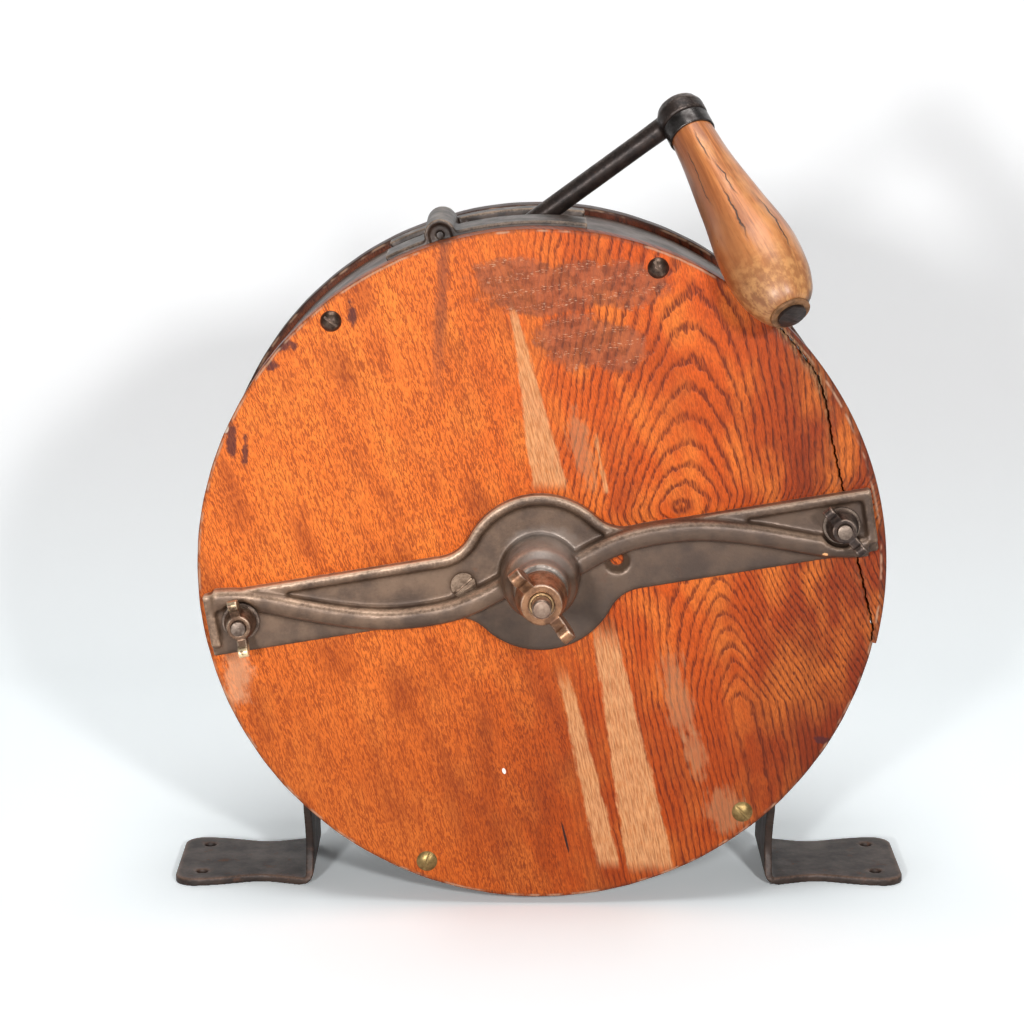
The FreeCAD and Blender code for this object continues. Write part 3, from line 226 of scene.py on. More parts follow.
class Finish:
    """A procedural material: nodes for its pattern, and one Principled shader."""

    def __init__(self, name):
        self.material = bpy.data.materials.new(name)
        self.material.use_nodes = True
        self.nodes = self.material.node_tree.nodes
        self.shader = self.nodes["Principled BSDF"]
        place = self.node("TexCoord", {}, (), output="Object")
        place = self.node("VectorMath", {"operation": "SCALE"}, {0: place, "Scale": 1000.0})
        self.x, self.y, height = self.parts(place)
        self.z = height - SPINDLE_HEIGHT

    def node(self, kind, settings, feeds, output=0):
        """Adds a node of a type: first its settings, then its sockets' values or links; gives one output."""
        made = self.nodes.new("ShaderNode" + kind)
        for setting, value in settings.items():
            setattr(made, setting, value)
        for socket, value in (feeds.items() if isinstance(feeds, dict) else enumerate(feeds)):
            self.feed(made.inputs[socket], value)
        return Value(self, made.outputs[output])

    def feed(self, socket, value):
        if isinstance(value, Value):
            self.material.node_tree.links.new(value.socket, socket)
        else:
            socket.default_value = value

    def parts(self, place):
        """The three numbers of a place."""
        shares = self.node("SeparateXYZ", {}, (place,)).socket.node.outputs
        return [Value(self, share) for share in shares]

    def noise(self, across, deep, along, detail=2.0, rough=0.5, twist=0.0):
        """Cloudy noise from 0 to 1 at a place given in its own units."""
        place = self.node("CombineXYZ", {}, (across, deep, along))
        return self.node("TexNoise", {}, {"Vector": place, "Scale": 1.0, "Detail": detail, "Roughness": rough,
                                          "Distortion": twist})

    def clouds(self, size, detail=3.0, rough=0.55, shift=0.0):
        """Noise with blotches of about the same size in mm every way."""
        return self.noise(self.x / size + shift, self.y / size, self.z / size, detail, rough)

    def blend(self, share, first, second):
        """Mixes two colours."""
        return self.node("Mix", {"data_type": "RGBA"}, {0: share, 6: first, 7: second}, output=2)

    def spot(self, x, z, wide, high, lean=0.0):
        """Distance from a place on the face: 0 there, 1 on an oval of this half width and height in mm."""
        aside = (self.x - x + (self.z - z) * lean) / wide
        above = (self.z - z) / high
        return (aside * aside + above * above).sqrt()

    def paint(self, colour, rough, metal=0.0, height=None, **constants):
        """Sends the pattern to the shader; height is the relief in mm."""
        self.feed(self.shader.inputs["Base Color"], colour)
        self.feed(self.shader.inputs["Roughness"], rough)
        self.feed(self.shader.inputs["Metallic"], metal)
        for name, value in constants.items():
            self.shader.inputs[name.replace("_", " ")].default_value = value
        if height is not None:
            relief = self.node("Bump", {}, {"Strength": 1.0, "Distance": 0.001, "Height": height})
            self.feed(self.shader.inputs["Normal"], relief)
        return self.material


def colour(red, green, blue):
    return (red, green, blue, 1.0)


def oak(name, tones, lines, light, worn=False, extra_rim_dark=0.0):
    """Flat sawn oak: rings drawn as nested arches right of the middle, straight lines further out.

    off runs over the grain from the arches' axis. Above the bar ring = root(off^2 + 14 height) / 2.7, so
    that each whole number is a parabolic arch, 2.7 mm from the next where the lines run straight. Below it
    the arches are steeper: ring = (root(off^2 + 49) + spread height) / 2.7. The dark part of each ring is
    broken into pores.
    """
    wood = Finish(name)
    x, y, z = wood.x, wood.y, wood.z
    across = x + z * (0.25 - x * 0.0007) + y * 0.3
    along = z - x * 0.2
    drift = wood.noise(x / 40, y / 60, z / 80, 2.0) - 0.5
    ripple = wood.noise(across / 7, y / 30, along / 20, 2.0) - 0.5
    shiver = wood.noise(across / 1.6, y / 20, along / 5, 1.0) - 0.5
    below = 1 - (z - x * 0.16).rise(-8.0, 22.0)
    off = x - 54.5 - below * 12 + z.least(0.0) * 0.22 + drift * 9 + y * 0.3
    tall = (off * off + (z * 14 - 63).most(16.0)).sqrt()
    spread = off.rise(-34.0, -4.0, 0.12, 0.36)
    steep = (off * off + 49).sqrt() + (z + 60).most(0.0) * spread + 3
    ring = (tall * (1 - below) + steep * below) / 2.7 + ripple * 0.8 + shiver * 0.5
    part = ring.fract()
    late = part.rise(0.0, 0.12) * (1 - part.rise(0.24, 0.56))
    rightward = (x + z * 0.12 + drift * 30).rise(-22.0, 26.0)
    strong = rightward * wood.noise(across / 24, 0.0, along / 40, 2.0).rise(0.2, 0.6, 0.7)
    pores = wood.noise(across / 0.48, y / 6, along / 4.2, 1.0).rise(0.36, 0.6)
    lines_of_pores = wood.noise(across / 0.9, y / 20, along / 30, 1.0).rise(0.35, 0.6, 0.55, 1.0)
    ticks = wood.noise(across / 0.42 + 9, y / 5, along / 2.0 + drift * 3, 1.0).rise(0.4, 0.6) * lines_of_pores
    dark = (late * strong * (0.5 + pores * 0.6)).most(ticks * (0.88 - rightward * 0.42)).least(1.0)
    cloud = wood.noise(across / 14, y / 30, along / 30, 2.0, 0.5)
    shade = wood.noise(across / 17 + 5, y / 30, along / 44 + 3, 3.0, 0.55).rise(0.46, 0.72)
    plain, line = tones[0], lines[0]
    # The front board's tones darken from left to right: partly the oak's own colour, partly painted light,
    # the glare of the left lamp on the left half.
    for tone, groove, low, high in ((tones[1], lines[1], -70.0, 40.0), (tones[2], lines[2], 70.0, 128.0)):
        plain = wood.blend(x.rise(low, high), plain, tone)
        line = wood.blend(x.rise(low, high), line, groove)
    plain = wood.blend(cloud.rise(0.4, 0.72, 0.0, 0.6), plain, light)
    plain = wood.blend(shade * (0.5 - rightward * 0.25), plain, line)
    plain = wood.blend((z + drift * 60).rise(-110.0, 10.0, 0.42, 0.0), plain, line)
    figured = wood.blend(dark * 0.9, plain, line)
    depth = dark * -0.09 + ripple * 0.02
    rough = cloud.rise(0.2, 0.8, 0.36, 0.52)
    if worn:
        figured, rough, bare = wear_marks(wood, across, along, figured, rough)
        depth = depth * (1 - bare * 0.6)
    reach = (x * x + z * z).sqrt()
    fray = wood.clouds(5.0, 4.0, 0.65)
    # The band round the rim is darkened: old dark wood and handling, and painted shade along the narrow edge;
    # the rear board takes more of it.
    rim_dark_and_shade = (reach + fray * 2.2).rise(RIM - 1.4, RIM + 0.8)
    figured = wood.blend(rim_dark_and_shade * (0.5 + extra_rim_dark), figured, colour(0.045, 0.02, 0.014))
    corner = reach + fray * 0.9
    pale = corner.rise(RIM - 1.3, RIM - 0.5) * (1 - corner.rise(RIM - 0.3, RIM + 0.3))
    figured = wood.blend(pale * wood.clouds(8.0, 2.0, 0.5, 4.0).rise(0.45, 0.6, 0.0, 0.6), figured,
                         colour(0.5, 0.3, 0.19))
    torn = wood.node("Attribute", {"attribute_name": "torn"}, (), output="Fac")
    splinter = wood.noise(across / 1.1, y / 2, along / 6, 3.0, 0.7)
    raw = wood.blend(splinter.rise(0.45, 0.6), colour(0.03, 0.018, 0.012), colour(0.3, 0.15, 0.07))
    figured = wood.blend(torn * splinter.rise(0.38, 0.52, 0.3, 1.0), figured, raw)
    depth = depth + torn * splinter * -1.6
    return wood.paint(figured, rough, 0.0, depth, Specular_IOR_Level=0.18)


# Each oval has its middle, half width and half height. A streak has its two ends and its half width at each.
BURNS = ((-135.8, 59.1, 2.6, 12.0), (-130.1, 54.0, 2.0, 8.0), (-112.5, 101.0, 6.0, 3.4),
         (-82.3, 113.3, 2.6, 8.0), (-118.0, 92.0, 3.5, 3.0), (128.0, -78.0, 5.0, 2.0))
GREY_WORN = ((62.0, -59.0, 8.0, 26.0), (84.5, -112.0, 13.0, 13.0), (18.0, 56.0, 6.0, 22.0),
             (70.0, -84.0, 6.0, 16.0))
STREAKS = ((-13.0, 122.0, 4.0, 40.0, 1.2, 8.0), (10.5, -47.0, 31.0, -135.0, 3.0, 5.6),
           (28.0, -24.0, 50.0, -136.0, 5.6, 11.0), (24.0, 62.0, 29.0, 36.0, 0.7, 1.6))
RUBBED = ((0.0, 124.0, 30.0, 12.0), (26.0, 128.0, 34.0, 12.0), (16.0, 104.0, 20.0, 15.0),
          (34.0, 100.0, 14.0, 12.0), (-12.0, 132.0, 22.0, 9.0))


def wear_marks(wood, across, along, figured, rough):
    """Pale worn streaks, scorched spots, the brown rubbed patch on top, a dark streak and stray flecks."""
    x, z = wood.x, wood.z
    fuzzy = wood.noise(across / 1.9, 0.0, along / 14, 4.0, 0.65) - 0.5
    coarse = wood.clouds(7.0, 4.0, 0.65, 2.0) - 0.5
    fibres = wood.noise(across / 0.7, 0.0, along / 7, 3.0, 0.6)
    bare = None
    for x0, z0, x1, z1, first, last in STREAKS:
        share = (z - z0) / (z1 - z0)
        middle = share * (x1 - x0) + x0
        half = share * (last - first) + first
        ends = share.rise(-0.06, 0.14) * (1 - share.rise(0.98, 1.06))
        inside = (half - abs(x - middle) + fuzzy * 4 + coarse * 3).rise(-0.4, 1.3) * ends
        bare = inside if bare is None else bare.most(inside)
    pale = wood.blend(fibres.rise(0.32, 0.66), colour(0.38, 0.16, 0.06), colour(0.72, 0.37, 0.165))
    pale = wood.blend(coarse.rise(0.0, 0.25, 0.0, 0.5), pale, colour(0.5, 0.16, 0.045))
    figured = wood.blend(bare * (0.76 + coarse * 0.6), figured, pale)
    rough = rough + bare * 0.16
    for px, pz, wide, high in GREY_WORN:
        inside = 1 - (wood.spot(px, pz, wide, high, 0.2) + fuzzy * 1.6 + coarse * 1.0).rise(0.45, 1.0)
        figured = wood.blend(inside * (0.2 + fibres * 0.45), figured, colour(0.42, 0.21, 0.1))
    patch = None
    for px, pz, wide, high in RUBBED:
        inside = 1 - (wood.spot(px, pz, wide, high, 0.1) + coarse * 0.9 + fuzzy * 0.5).rise(0.72, 1.0)
        patch = inside if patch is None else patch.most(inside)
    brown = wood.blend(wood.clouds(5.0, 4.0, 0.65, 6.0).rise(0.4, 0.62), colour(0.12, 0.032, 0.016),
                       colour(0.32, 0.085, 0.034))
    figured = wood.blend(patch * 0.72, figured, brown)
    rows = abs((z / 7.4 - x * 0.021 + coarse * 0.5).fract() - 0.5)
    chips = wood.noise(x / 2.4, 0.0, z / 0.5, 3.0, 0.7).rise(0.56, 0.64) * rows.rise(0.24, 0.36)
    figured = wood.blend(chips * patch * 0.6, figured, colour(0.7, 0.42, 0.26))
    streak = 1 - (abs(x + 43.0 - (z - 125) * 0.06) + fuzzy * 6).rise(0.8, 4.2)
    streak = streak * z.rise(60.0, 118.0) * 0.62
    figured = wood.blend(streak, figured, colour(0.16, 0.04, 0.02))
    for px, pz, wide, high in BURNS:
        inside = 1 - (wood.spot(px, pz, wide, high) + coarse * 2.6 + fuzzy * 0.8).rise(0.4, 0.95)
        figured = wood.blend(inside * 0.85, figured, colour(0.06, 0.014, 0.016))
    scrape = 1 - (wood.spot(-136.0, -50.0, 9.0, 20.0) + coarse * 1.4 + fuzzy).rise(0.3, 0.9)
    figured = wood.blend(scrape * 0.5, figured, colour(0.74, 0.4, 0.22))
    fleck = 1 - wood.spot(-16.1, -92.7, 0.9, 1.5, 0.2).rise(0.8, 1.0)
    figured = wood.blend(fleck, figured, colour(0.9, 0.86, 0.8))
    chip = 1 - (wood.spot(-138.6, 64.5, 1.6, 2.4) + coarse).rise(0.7, 1.0)
    figured = wood.blend(chip, figured, colour(0.8, 0.62, 0.5))
    crack = 1 - (wood.spot(11.6, -124.0, 0.75, 9.5, 0.24) + fuzzy * 0.8).rise(0.6, 0.9)
    return wood.blend(crack, figured, colour(0.03, 0.012, 0.01)), rough, bare


# Tones from left to right: partly the oak's own colour, partly painted glare of the left lamp, bright on the
# left half.
front_oak = oak("front oak",
                (colour(0.78, 0.17, 0.02), colour(0.58, 0.085, 0.006), colour(0.27, 0.034, 0.005)),
                (colour(0.22, 0.03, 0.004), colour(0.11, 0.013, 0.003), colour(0.07, 0.01, 0.003)),
                colour(0.84, 0.22, 0.03), worn=True)

around = np.linspace(0, 2 * np.pi, RIM_STEPS, endpoint=False)
signed = (around + np.pi) % (2 * np.pi) - np.pi
in_split = (signed > split_angles[0]) & (signed < split_angles[-1])
worn_rim = RIM - 0.12 + ragged(RIM_STEPS, 3, ((7, 0.05), (23, 0.05), (61, 0.04)))
board_edge = np.where(in_split, np.minimum(split_radius(signed), worn_rim), worn_rim)
grid = board(np.full(RIM_STEPS, SPIGOT_HOLE), board_edge, around, FRONT_FACE, FRONT_BACK, True)
front_board = piece("front_board", add_height(grid), grid_faces(*grid.shape[:2]), "drum")
mark_split(front_board)
front_board.data.materials.append(front_oak)
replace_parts(front_board, "front_cheek")

strip_angles = np.linspace(split_angles[0] - 0.004, split_angles[-1], STRIP_STEPS)
strip_inner = np.minimum(split_radius(strip_angles) - STRIP_SHIFT + SPLIT_GAP, RIM - 0.7)
grid = board(strip_inner, np.full(STRIP_STEPS, RIM - 0.1), strip_angles, FRONT_FACE, FRONT_BACK, False)
faces = grid_faces(*grid.shape[:2], close_rows=False)
columns = grid.shape[1]
faces += [list(range(columns)), list(range((STRIP_STEPS - 1) * columns, STRIP_STEPS * columns))]
grid = add_height(grid) + STRIP_SHIFT * np.array([np.cos(TILT), 0, np.sin(TILT)])
strip = piece("front_strip", grid, faces, "drum")
mark_split(strip)
strip.data.materials.append(front_oak)
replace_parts(strip, "front_cheek_strip")


# Rear disc
# The same oak board behind the hoop, turned from one piece. Its rim is dark with handling and old polish.

REAR_FRONT, REAR_FACE = 59.5, 72.5
BUSH_HOLE = 9.1

rear_oak = oak("rear oak",
               (colour(0.17, 0.042, 0.015), colour(0.15, 0.03, 0.01), colour(0.15, 0.026, 0.009)),
               (colour(0.04, 0.012, 0.007), colour(0.03, 0.01, 0.006), colour(0.03, 0.009, 0.005)),
               colour(0.24, 0.055, 0.018), extra_rim_dark=0.45)
worn_rim = RIM - 0.14 + ragged(RIM_STEPS, 8, ((5, 0.05), (19, 0.05), (53, 0.04)))
grid = board(np.full(RIM_STEPS, BUSH_HOLE), worn_rim, around, REAR_FRONT, REAR_FACE, True)
rear_board = piece("rear_board", add_height(grid), grid_faces(*grid.shape[:2]), "drum")
rear_board.data.materials.append(rear_oak)
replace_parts(rear_board, "rear_cheek")


# Hoop
# One bent sheet of tinned iron between the discs, let into a groove in each and open at the knife slot.
# The tin has gone dull olive brown, with darker handling marks and fine rust.

def dress(node, finish):
    """Gives a CAD node its finish."""
    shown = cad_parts[node]
    shown.data.materials.clear()
    shown.data.materials.append(finish)


tin = Finish("tinned sheet")
tin_cloud = tin.clouds(18.0, 5.0, 0.6)
tin_speck = tin.clouds(1.6, 3.0, 0.7, 3.0)
tin_tone = tin.blend(tin_cloud.rise(0.3, 0.7), colour(0.05, 0.028, 0.02), colour(0.13, 0.08, 0.055))
tin_tone = tin.blend(tin_speck.rise(0.58, 0.72, 0.0, 0.6), tin_tone, colour(0.06, 0.028, 0.018))
tinned_sheet = tin.paint(tin_tone, tin_cloud.rise(0.2, 0.8, 0.5, 0.32), 0.3, tin_speck * 0.05)
dress("hoop", tinned_sheet)


# Blocks inside the hoop
# Four pine blocks that the edge screws and the foot screws bite into, sawn and left bare.

def sawn_wood(name, plain, dark, scale=1.0):
    """Bare softwood: straight grain across the machine, with saw marks."""
    wood = Finish(name)
    grain = wood.noise(wood.x / (2.2 * scale), wood.y / 60, wood.z / (2.2 * scale), 3.0, 0.6)
    sawn = wood.noise(wood.x / 12, wood.y / 0.9, wood.z / 12, 2.0, 0.5)
    grime = wood.clouds(14.0, 4.0, 0.6)
    tone = wood.blend(grain.rise(0.35, 0.66), plain, dark)
    tone = wood.blend(grime.rise(0.5, 0.75, 0.0, 0.5), tone, colour(0.12, 0.075, 0.045))
    return wood.paint(tone, grime.rise(0.2, 0.8, 0.6, 0.82), 0.0, grain * 0.12 + sawn * 0.08)


pine = sawn_wood("pine", colour(0.5, 0.33, 0.18), colour(0.31, 0.18, 0.085))
for node in ("upper_blocks", "lower_blocks"):
    dress(node, pine)


# Edge screws
# Round headed iron screws above and brass ones below, driven through each disc into the blocks. The slots
# are packed with grime, and the brass ones sit low in dark rings.

def merged_copy(name, node):
    """A copy of a CAD node's mesh with its loose triangles joined."""
    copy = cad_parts[node].data.copy()
    copy.name = name
    copy.materials.clear()
    made = bpy.data.objects.new(name, copy)
    bpy.context.scene.collection.objects.link(made)
    tidy_mesh(copy, 30.0, outward=False)
    return made


def softened(node, edge, finish, body, steps=2):
    """A CAD node with its machined edges rounded by a small bevel in mm."""
    made = merged_copy(node + "_worn", node)
    bevel = made.modifiers.new("edges", "BEVEL")
    bevel.width, bevel.segments = edge * 0.001, steps
    bevel.limit_method, bevel.angle_limit = "ANGLE", np.radians(32)
    bevel.use_clamp_overlap = True
    bevel.harden_normals = False
    made.data.materials.append(finish)
    carried(made, body)
    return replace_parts(made, node)


def metal(name, dark, mid, bright, blotch, rough=(0.36, 0.6), shine=0.8, grain=1.3, relief=0.05, rust=None,
          rust_share=0.0, worn=1.0, more=None):
    """Handled metal: blotches of two tones, rust in patches, bright edges where the wear-and-light number is
    high and dark hollows where it is low: rubbed wear and grime, with painted highlight on faces that look up
    and painted shade in recesses and under faces that look down.

    blotch and grain are sizes in mm, rough is for the bright and the dull blotches, relief is a height in mm.
    """
    skin = Finish(name)
    cloud = skin.clouds(blotch, 4.0, 0.62)
    fine = skin.clouds(grain, 3.0, 0.65, 7.0)
    wear_and_light = skin.node("Attribute", {"attribute_name": "wear_and_light"}, (), output="Fac")
    # Rubbed edges, with painted highlight where the number comes from faces that look up; worn scales it.
    rubbed_and_highlit = (wear_and_light * worn * (0.45 + cloud * 1.2) + (fine - 0.5) * 0.5).rise(0.12, 0.62)
    grime_and_shade = (wear_and_light * -1.0 + (fine - 0.5) * 0.3).rise(0.08, 0.7)
    tone = skin.blend(cloud.rise(0.32, 0.68), dark, mid)
    tone = skin.blend(fine.rise(0.55, 0.75, 0.0, 0.35), tone, dark)
    # Grime in hollows, and painted shade in recesses and under faces that look down, as a darker copy of the
    # dark tone.
    tone = skin.blend(grime_and_shade * 0.7, tone, tuple(0.4 * part for part in dark[:3]) + (1.0,))
    tone = skin.blend(rubbed_and_highlit * 0.85, tone, bright)
    even = cloud.rise(0.2, 0.8, rough[1], rough[0]) + fine * 0.08
    if rust:
        stain = skin.clouds(blotch * 0.7, 5.0, 0.7, 3.0).rise(0.66 - rust_share, 0.8 - rust_share)
        tone, even = skin.blend(stain * 0.75, tone, rust), even + stain * 0.2
    if more:
        tone = more(skin, tone)
    return skin.paint(tone, even, shine, fine * relief + cloud * relief)


dark_screw = metal("dark screws", colour(0.05, 0.033, 0.026), colour(0.14, 0.095, 0.07),
                   colour(0.42, 0.33, 0.27), 2.6, (0.24, 0.42), 0.9, 0.8)
brass_screw = metal("brass screws", colour(0.2, 0.13, 0.05), colour(0.36, 0.25, 0.1),
                    colour(0.6, 0.46, 0.22), 3.0, (0.28, 0.45), 0.9, 0.7)
softened("iron_edge_screws", 0.28, dark_screw, "drum", 3)
softened("brass_edge_screws", 0.28, brass_screw, "drum", 3)
softened("rear_edge_screws", 0.28, dark_screw, "drum", 3)


# Front bar
# Iron casting across the front disc: a plate with a raised bead, a round middle, and two ribs that curve
# out of the stepped boss. Brown from old oil and dust, rubbed bright along the ribs and the upper bead, with
# painted highlight on its upper faces, painted glare on the left arm and painted shade below.

def outward_bend(mesh, passes):
    """Outward bend of the surface at each point, from -1 in corners to 1 on edges.

    The mean of a point's neighbours minus the point, along the normal, evened out over its neighbours.
    """
    count = len(mesh.vertices)
    edges = np.zeros(len(mesh.edges) * 2, np.int32)
    mesh.edges.foreach_get("vertices", edges)
    first, second = edges.reshape(-1, 2).T
    normals = np.zeros(count * 3, np.float32)
    mesh.vertices.foreach_get("normal", normals)
    places, normals = points_of(mesh), normals.reshape(-1, 3)
    degree = np.maximum(np.bincount(first, minlength=count) + np.bincount(second, minlength=count), 1)

    def neighbours(values):
        total = np.bincount(first, values[second], count) + np.bincount(second, values[first], count)
        return total / degree

    mean = np.stack([neighbours(places[:, axis]) for axis in range(3)], -1)
    bend = -((mean - places) * normals).sum(1)
    for _ in range(passes):
        bend = 0.4 * bend + 0.6 * neighbours(bend)
    return bend


def casting(node, voxel, finish, body, smooth=3, passes=4, gain=5.0):
    """A CAD node recast: one skin of even small faces with softened corners.

    Its wear-and-light number is its outward bend, stronger on faces that look up, plus a little for any face
    that does and minus a little for any face that looks down: real rubbing on edges and dust on top, with
    painted highlight above and painted shade below.
    """
    made = merged_copy(node + "_cast", node)
    remesh = made.modifiers.new("skin", "REMESH")
    remesh.mode, remesh.voxel_size = "VOXEL", voxel * 0.001
    even = made.modifiers.new("even", "SMOOTH")
    even.factor, even.iterations = 0.5, smooth
    bpy.context.view_layer.update()
    cast = bpy.data.meshes.new_from_object(made.evaluated_get(bpy.context.evaluated_depsgraph_get()))
    made.modifiers.clear()
    made.data = cast
    cast.name = node + "_cast"
    cast.materials.clear()
    cast.shade_smooth()
    upward = np.zeros(len(cast.vertices) * 3, np.float32)
    cast.vertices.foreach_get("normal", upward)
    lift = np.clip(upward[2::3], -1, 1)
    bend = outward_bend(cast, passes) * gain / voxel
    # lift adds painted highlight on faces that look up and painted shade under faces that look down.
    numbers(cast, "wear_and_light", np.clip(np.where(bend > 0, bend * (0.6 + 0.4 * lift), bend) + lift * 0.24, -1, 1))
    cast.materials.append(finish)
    carried(made, body)
    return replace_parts(made, node)


BAR_CHIPS = ((125.6, 9.4, 2.2), (141.2, 6.2, 2.6))


def bar_light_and_chips(skin, tone):
    """Painted light on the bar: darker to the right so the left arm looks paler with painted glare, painted
    shade below, a painted grey sheen on top of the boss; and two bright chips.
    """
    # Painted glare: darker toward the right, so the left arm stays paler where the left lamp's glare falls.
    side = (skin.x + skin.clouds(14.0, 3.0) * 40).rise(-40.0, 90.0)
    tone = skin.blend(side * 0.5, tone, colour(0.05, 0.032, 0.025))
    # Painted shade: darker below a line along the bar's lower part.
    low = (skin.z - skin.x * 0.164 + skin.clouds(9.0, 3.0) * 10).rise(-22.0, 4.0, 0.6, 0.0)
    tone = skin.blend(low, tone, colour(0.045, 0.03, 0.022))
    # Painted sheen: a grey reflection on top of the boss.
    painted_sheen = 1 - (skin.spot(2.0, 12.0, 20.0, 11.0) + skin.clouds(6.0, 3.0) * 0.6).rise(0.6, 1.3)
    tone = skin.blend(painted_sheen * 0.55, tone, colour(0.34, 0.3, 0.27))
    for px, pz, wide in BAR_CHIPS:
        chip = 1 - (skin.spot(px, pz, wide, 1.1, 0.2) + skin.clouds(1.2, 3.0) * 0.8).rise(0.9, 1.2)
        tone = skin.blend(chip, tone, colour(0.95, 0.5, 0.22))
    return tone


bar_iron = metal("bar iron", colour(0.08, 0.047, 0.03), colour(0.19, 0.117, 0.074),
                 colour(0.66, 0.45, 0.31), 16.0, (0.3, 0.44), 0.35, 1.4, 0.08, colour(0.17, 0.08, 0.042),
                 0.05, more=bar_light_and_chips)
casting("front_bar", 0.9, bar_iron, "drum")


# Bar screws, tie bolts and washers
# One worn countersunk screw in the bar's left hole, the tie bolts that clamp the discs together, and the
# plain washers under their wing nuts.

worn_screw = metal("worn screw", colour(0.14, 0.09, 0.06), colour(0.34, 0.24, 0.17),
                   colour(0.6, 0.46, 0.34), 3.0, (0.3, 0.5), 0.7, 0.8)
bolt_steel = metal("bolt steel", colour(0.1, 0.07, 0.055), colour(0.26, 0.2, 0.16),
                   colour(0.6, 0.52, 0.44), 3.5, (0.28, 0.5), 0.8, 0.9, rust=colour(0.2, 0.08, 0.035),
                   rust_share=0.04)
softened("bar_screw", 0.2, worn_screw, "drum")
softened("rear_bar_screws", 0.2, worn_screw, "drum")
softened("tie_bolts", 0.25, bolt_steel, "drum")
softened("left_washer", 0.3, bolt_steel, "left_washer")
softened("right_washer", 0.3, bolt_steel, "right_washer")


# Wing nuts
# Malleable iron wing nuts. The left one is rubbed to a brassy shine at its wing tips, the right one is dark.

def bright_tips(x, z, low_only, bright):
    """Marks for a wing nut at a place: its wings rubbed bright toward their tips."""

    def marks(skin, tone):
        aside, above = skin.x - x, skin.z - z
        tip = (aside * aside + above * above).sqrt().rise(7.6, 10.5)
        lower = above.rise(-6.0, -3.0, 1.0, low_only)
        ragged_edge = skin.clouds(2.4, 3.0, 0.6, 5.0).rise(0.34, 0.5)
        return skin.blend(tip * lower * ragged_edge, tone, bright)

    return marks


worn_nut = metal("worn nut", colour(0.09, 0.05, 0.033), colour(0.23, 0.14, 0.09), colour(0.6, 0.46, 0.34),
                 3.0, (0.26, 0.46), 0.8, 0.8,
                 more=bright_tips(-132.9, -21.8, 0.25, colour(0.98, 0.8, 0.48)))
dark_nut = metal("dark nut", colour(0.03, 0.021, 0.018), colour(0.075, 0.05, 0.04),
                 colour(0.4, 0.3, 0.24), 3.0, (0.3, 0.5), 0.7, 0.8)
casting("left_wing_nut", 0.34, worn_nut, "left_wing_nut", 2, 3)
casting("right_wing_nut", 0.34, dark_nut, "right_wing_nut", 2, 3)


# Rear bar
# Plainer casting behind, with two straight ribs and a short boss for the spindle's rear bush.

casting("rear_bar", 0.95, bar_iron, "drum")


# Feet
# Flat iron bent into a foot and a leg, waisted where it bends, drilled for table screws, painted once and
# now brown with a worn front edge. Two screws hold each leg to the block inside the hoop.

foot_iron = metal("foot iron", colour(0.02, 0.012, 0.009), colour(0.05, 0.03, 0.022),
                  colour(0.2, 0.12, 0.085), 13.0, (0.4, 0.55), 0.15, 1.2, 0.06, colour(0.14, 0.06, 0.033),
                  0.08, 0.7)
casting("foot_right", 0.8, foot_iron, "drum", 2)
casting("foot_left", 0.8, foot_iron, "drum", 2)
softened("foot_screws", 0.25, dark_screw, "drum")


# Knife slot guard
# Iron frame riveted over the slot in the hoop: a front and a rear rail, and a hollow arch at its left end
# with a small pin through its front.

guard_iron = metal("guard iron", colour(0.018, 0.011, 0.008), colour(0.055, 0.034, 0.024),
                   colour(0.34, 0.24, 0.17), 8.0, (0.3, 0.46), 0.25, 1.0, 0.06, colour(0.13, 0.055, 0.03),
                   0.05, 0.8)
casting("slot_guard", 0.6, guard_iron, "drum")
softened("guard_pin", 0.2, guard_iron, "drum")
softened("guard_rivets", 0.2, guard_iron, "drum")


# Spindle with its bush, collar and pin
# Turned steel, oiled and handled: the front stud shows in the middle of the adjuster, the rear one takes the
# crank. The rear bush is bronze, and so is the cup that the adjuster pushes.

spindle_steel = metal("spindle steel", colour(0.2, 0.13, 0.095), colour(0.4, 0.29, 0.22),
                      colour(0.68, 0.55, 0.45), 4.0, (0.25, 0.45), 0.85, 0.8)
bronze = metal("bronze", colour(0.22, 0.13, 0.06), colour(0.42, 0.28, 0.13), colour(0.66, 0.48, 0.26),
               5.0, (0.3, 0.5), 0.85, 0.9)
softened("spindle", 0.3, spindle_steel, "spindle")
softened("spindle_collar", 0.4, spindle_steel, "spindle")
dress("collar_pin", spindle_steel)
softened("rear_bush", 0.3, bronze, "drum")
softened("thrust_cup", 0.3, bronze, "thrust_cup")


# Buff wheels
# Two turned boards faced with a leather pad and a ring of bristle, on iron hubs with three screws each, and
# the coil spring that parts them. Brown with knife powder.

wheel_wood = sawn_wood("wheel wood", colour(0.42, 0.27, 0.15), colour(0.26, 0.15, 0.075), 1.4)
hide = Finish("buff leather")
hide_place = hide.node("CombineXYZ", {}, (hide.x / 1.4, hide.y / 1.4, hide.z / 1.4))
hide_pebble = hide.node("TexVoronoi", {"feature": "DISTANCE_TO_EDGE"}, {"Vector": hide_place, "Scale": 1.0})
hide_stain = hide.clouds(12.0, 4.0, 0.6)
hide_tone = hide.blend(hide_stain.rise(0.3, 0.7), colour(0.16, 0.09, 0.05), colour(0.34, 0.2, 0.11))
buff_leather = hide.paint(hide_tone, hide_stain.rise(0.2, 0.8, 0.55, 0.8), 0.0,
                          hide_pebble.rise(0.0, 0.2, 0.0, 0.15))
hub_iron = metal("hub iron", colour(0.05, 0.045, 0.042), colour(0.13, 0.12, 0.11),
                 colour(0.4, 0.38, 0.35), 6.0, (0.4, 0.6), 0.6)
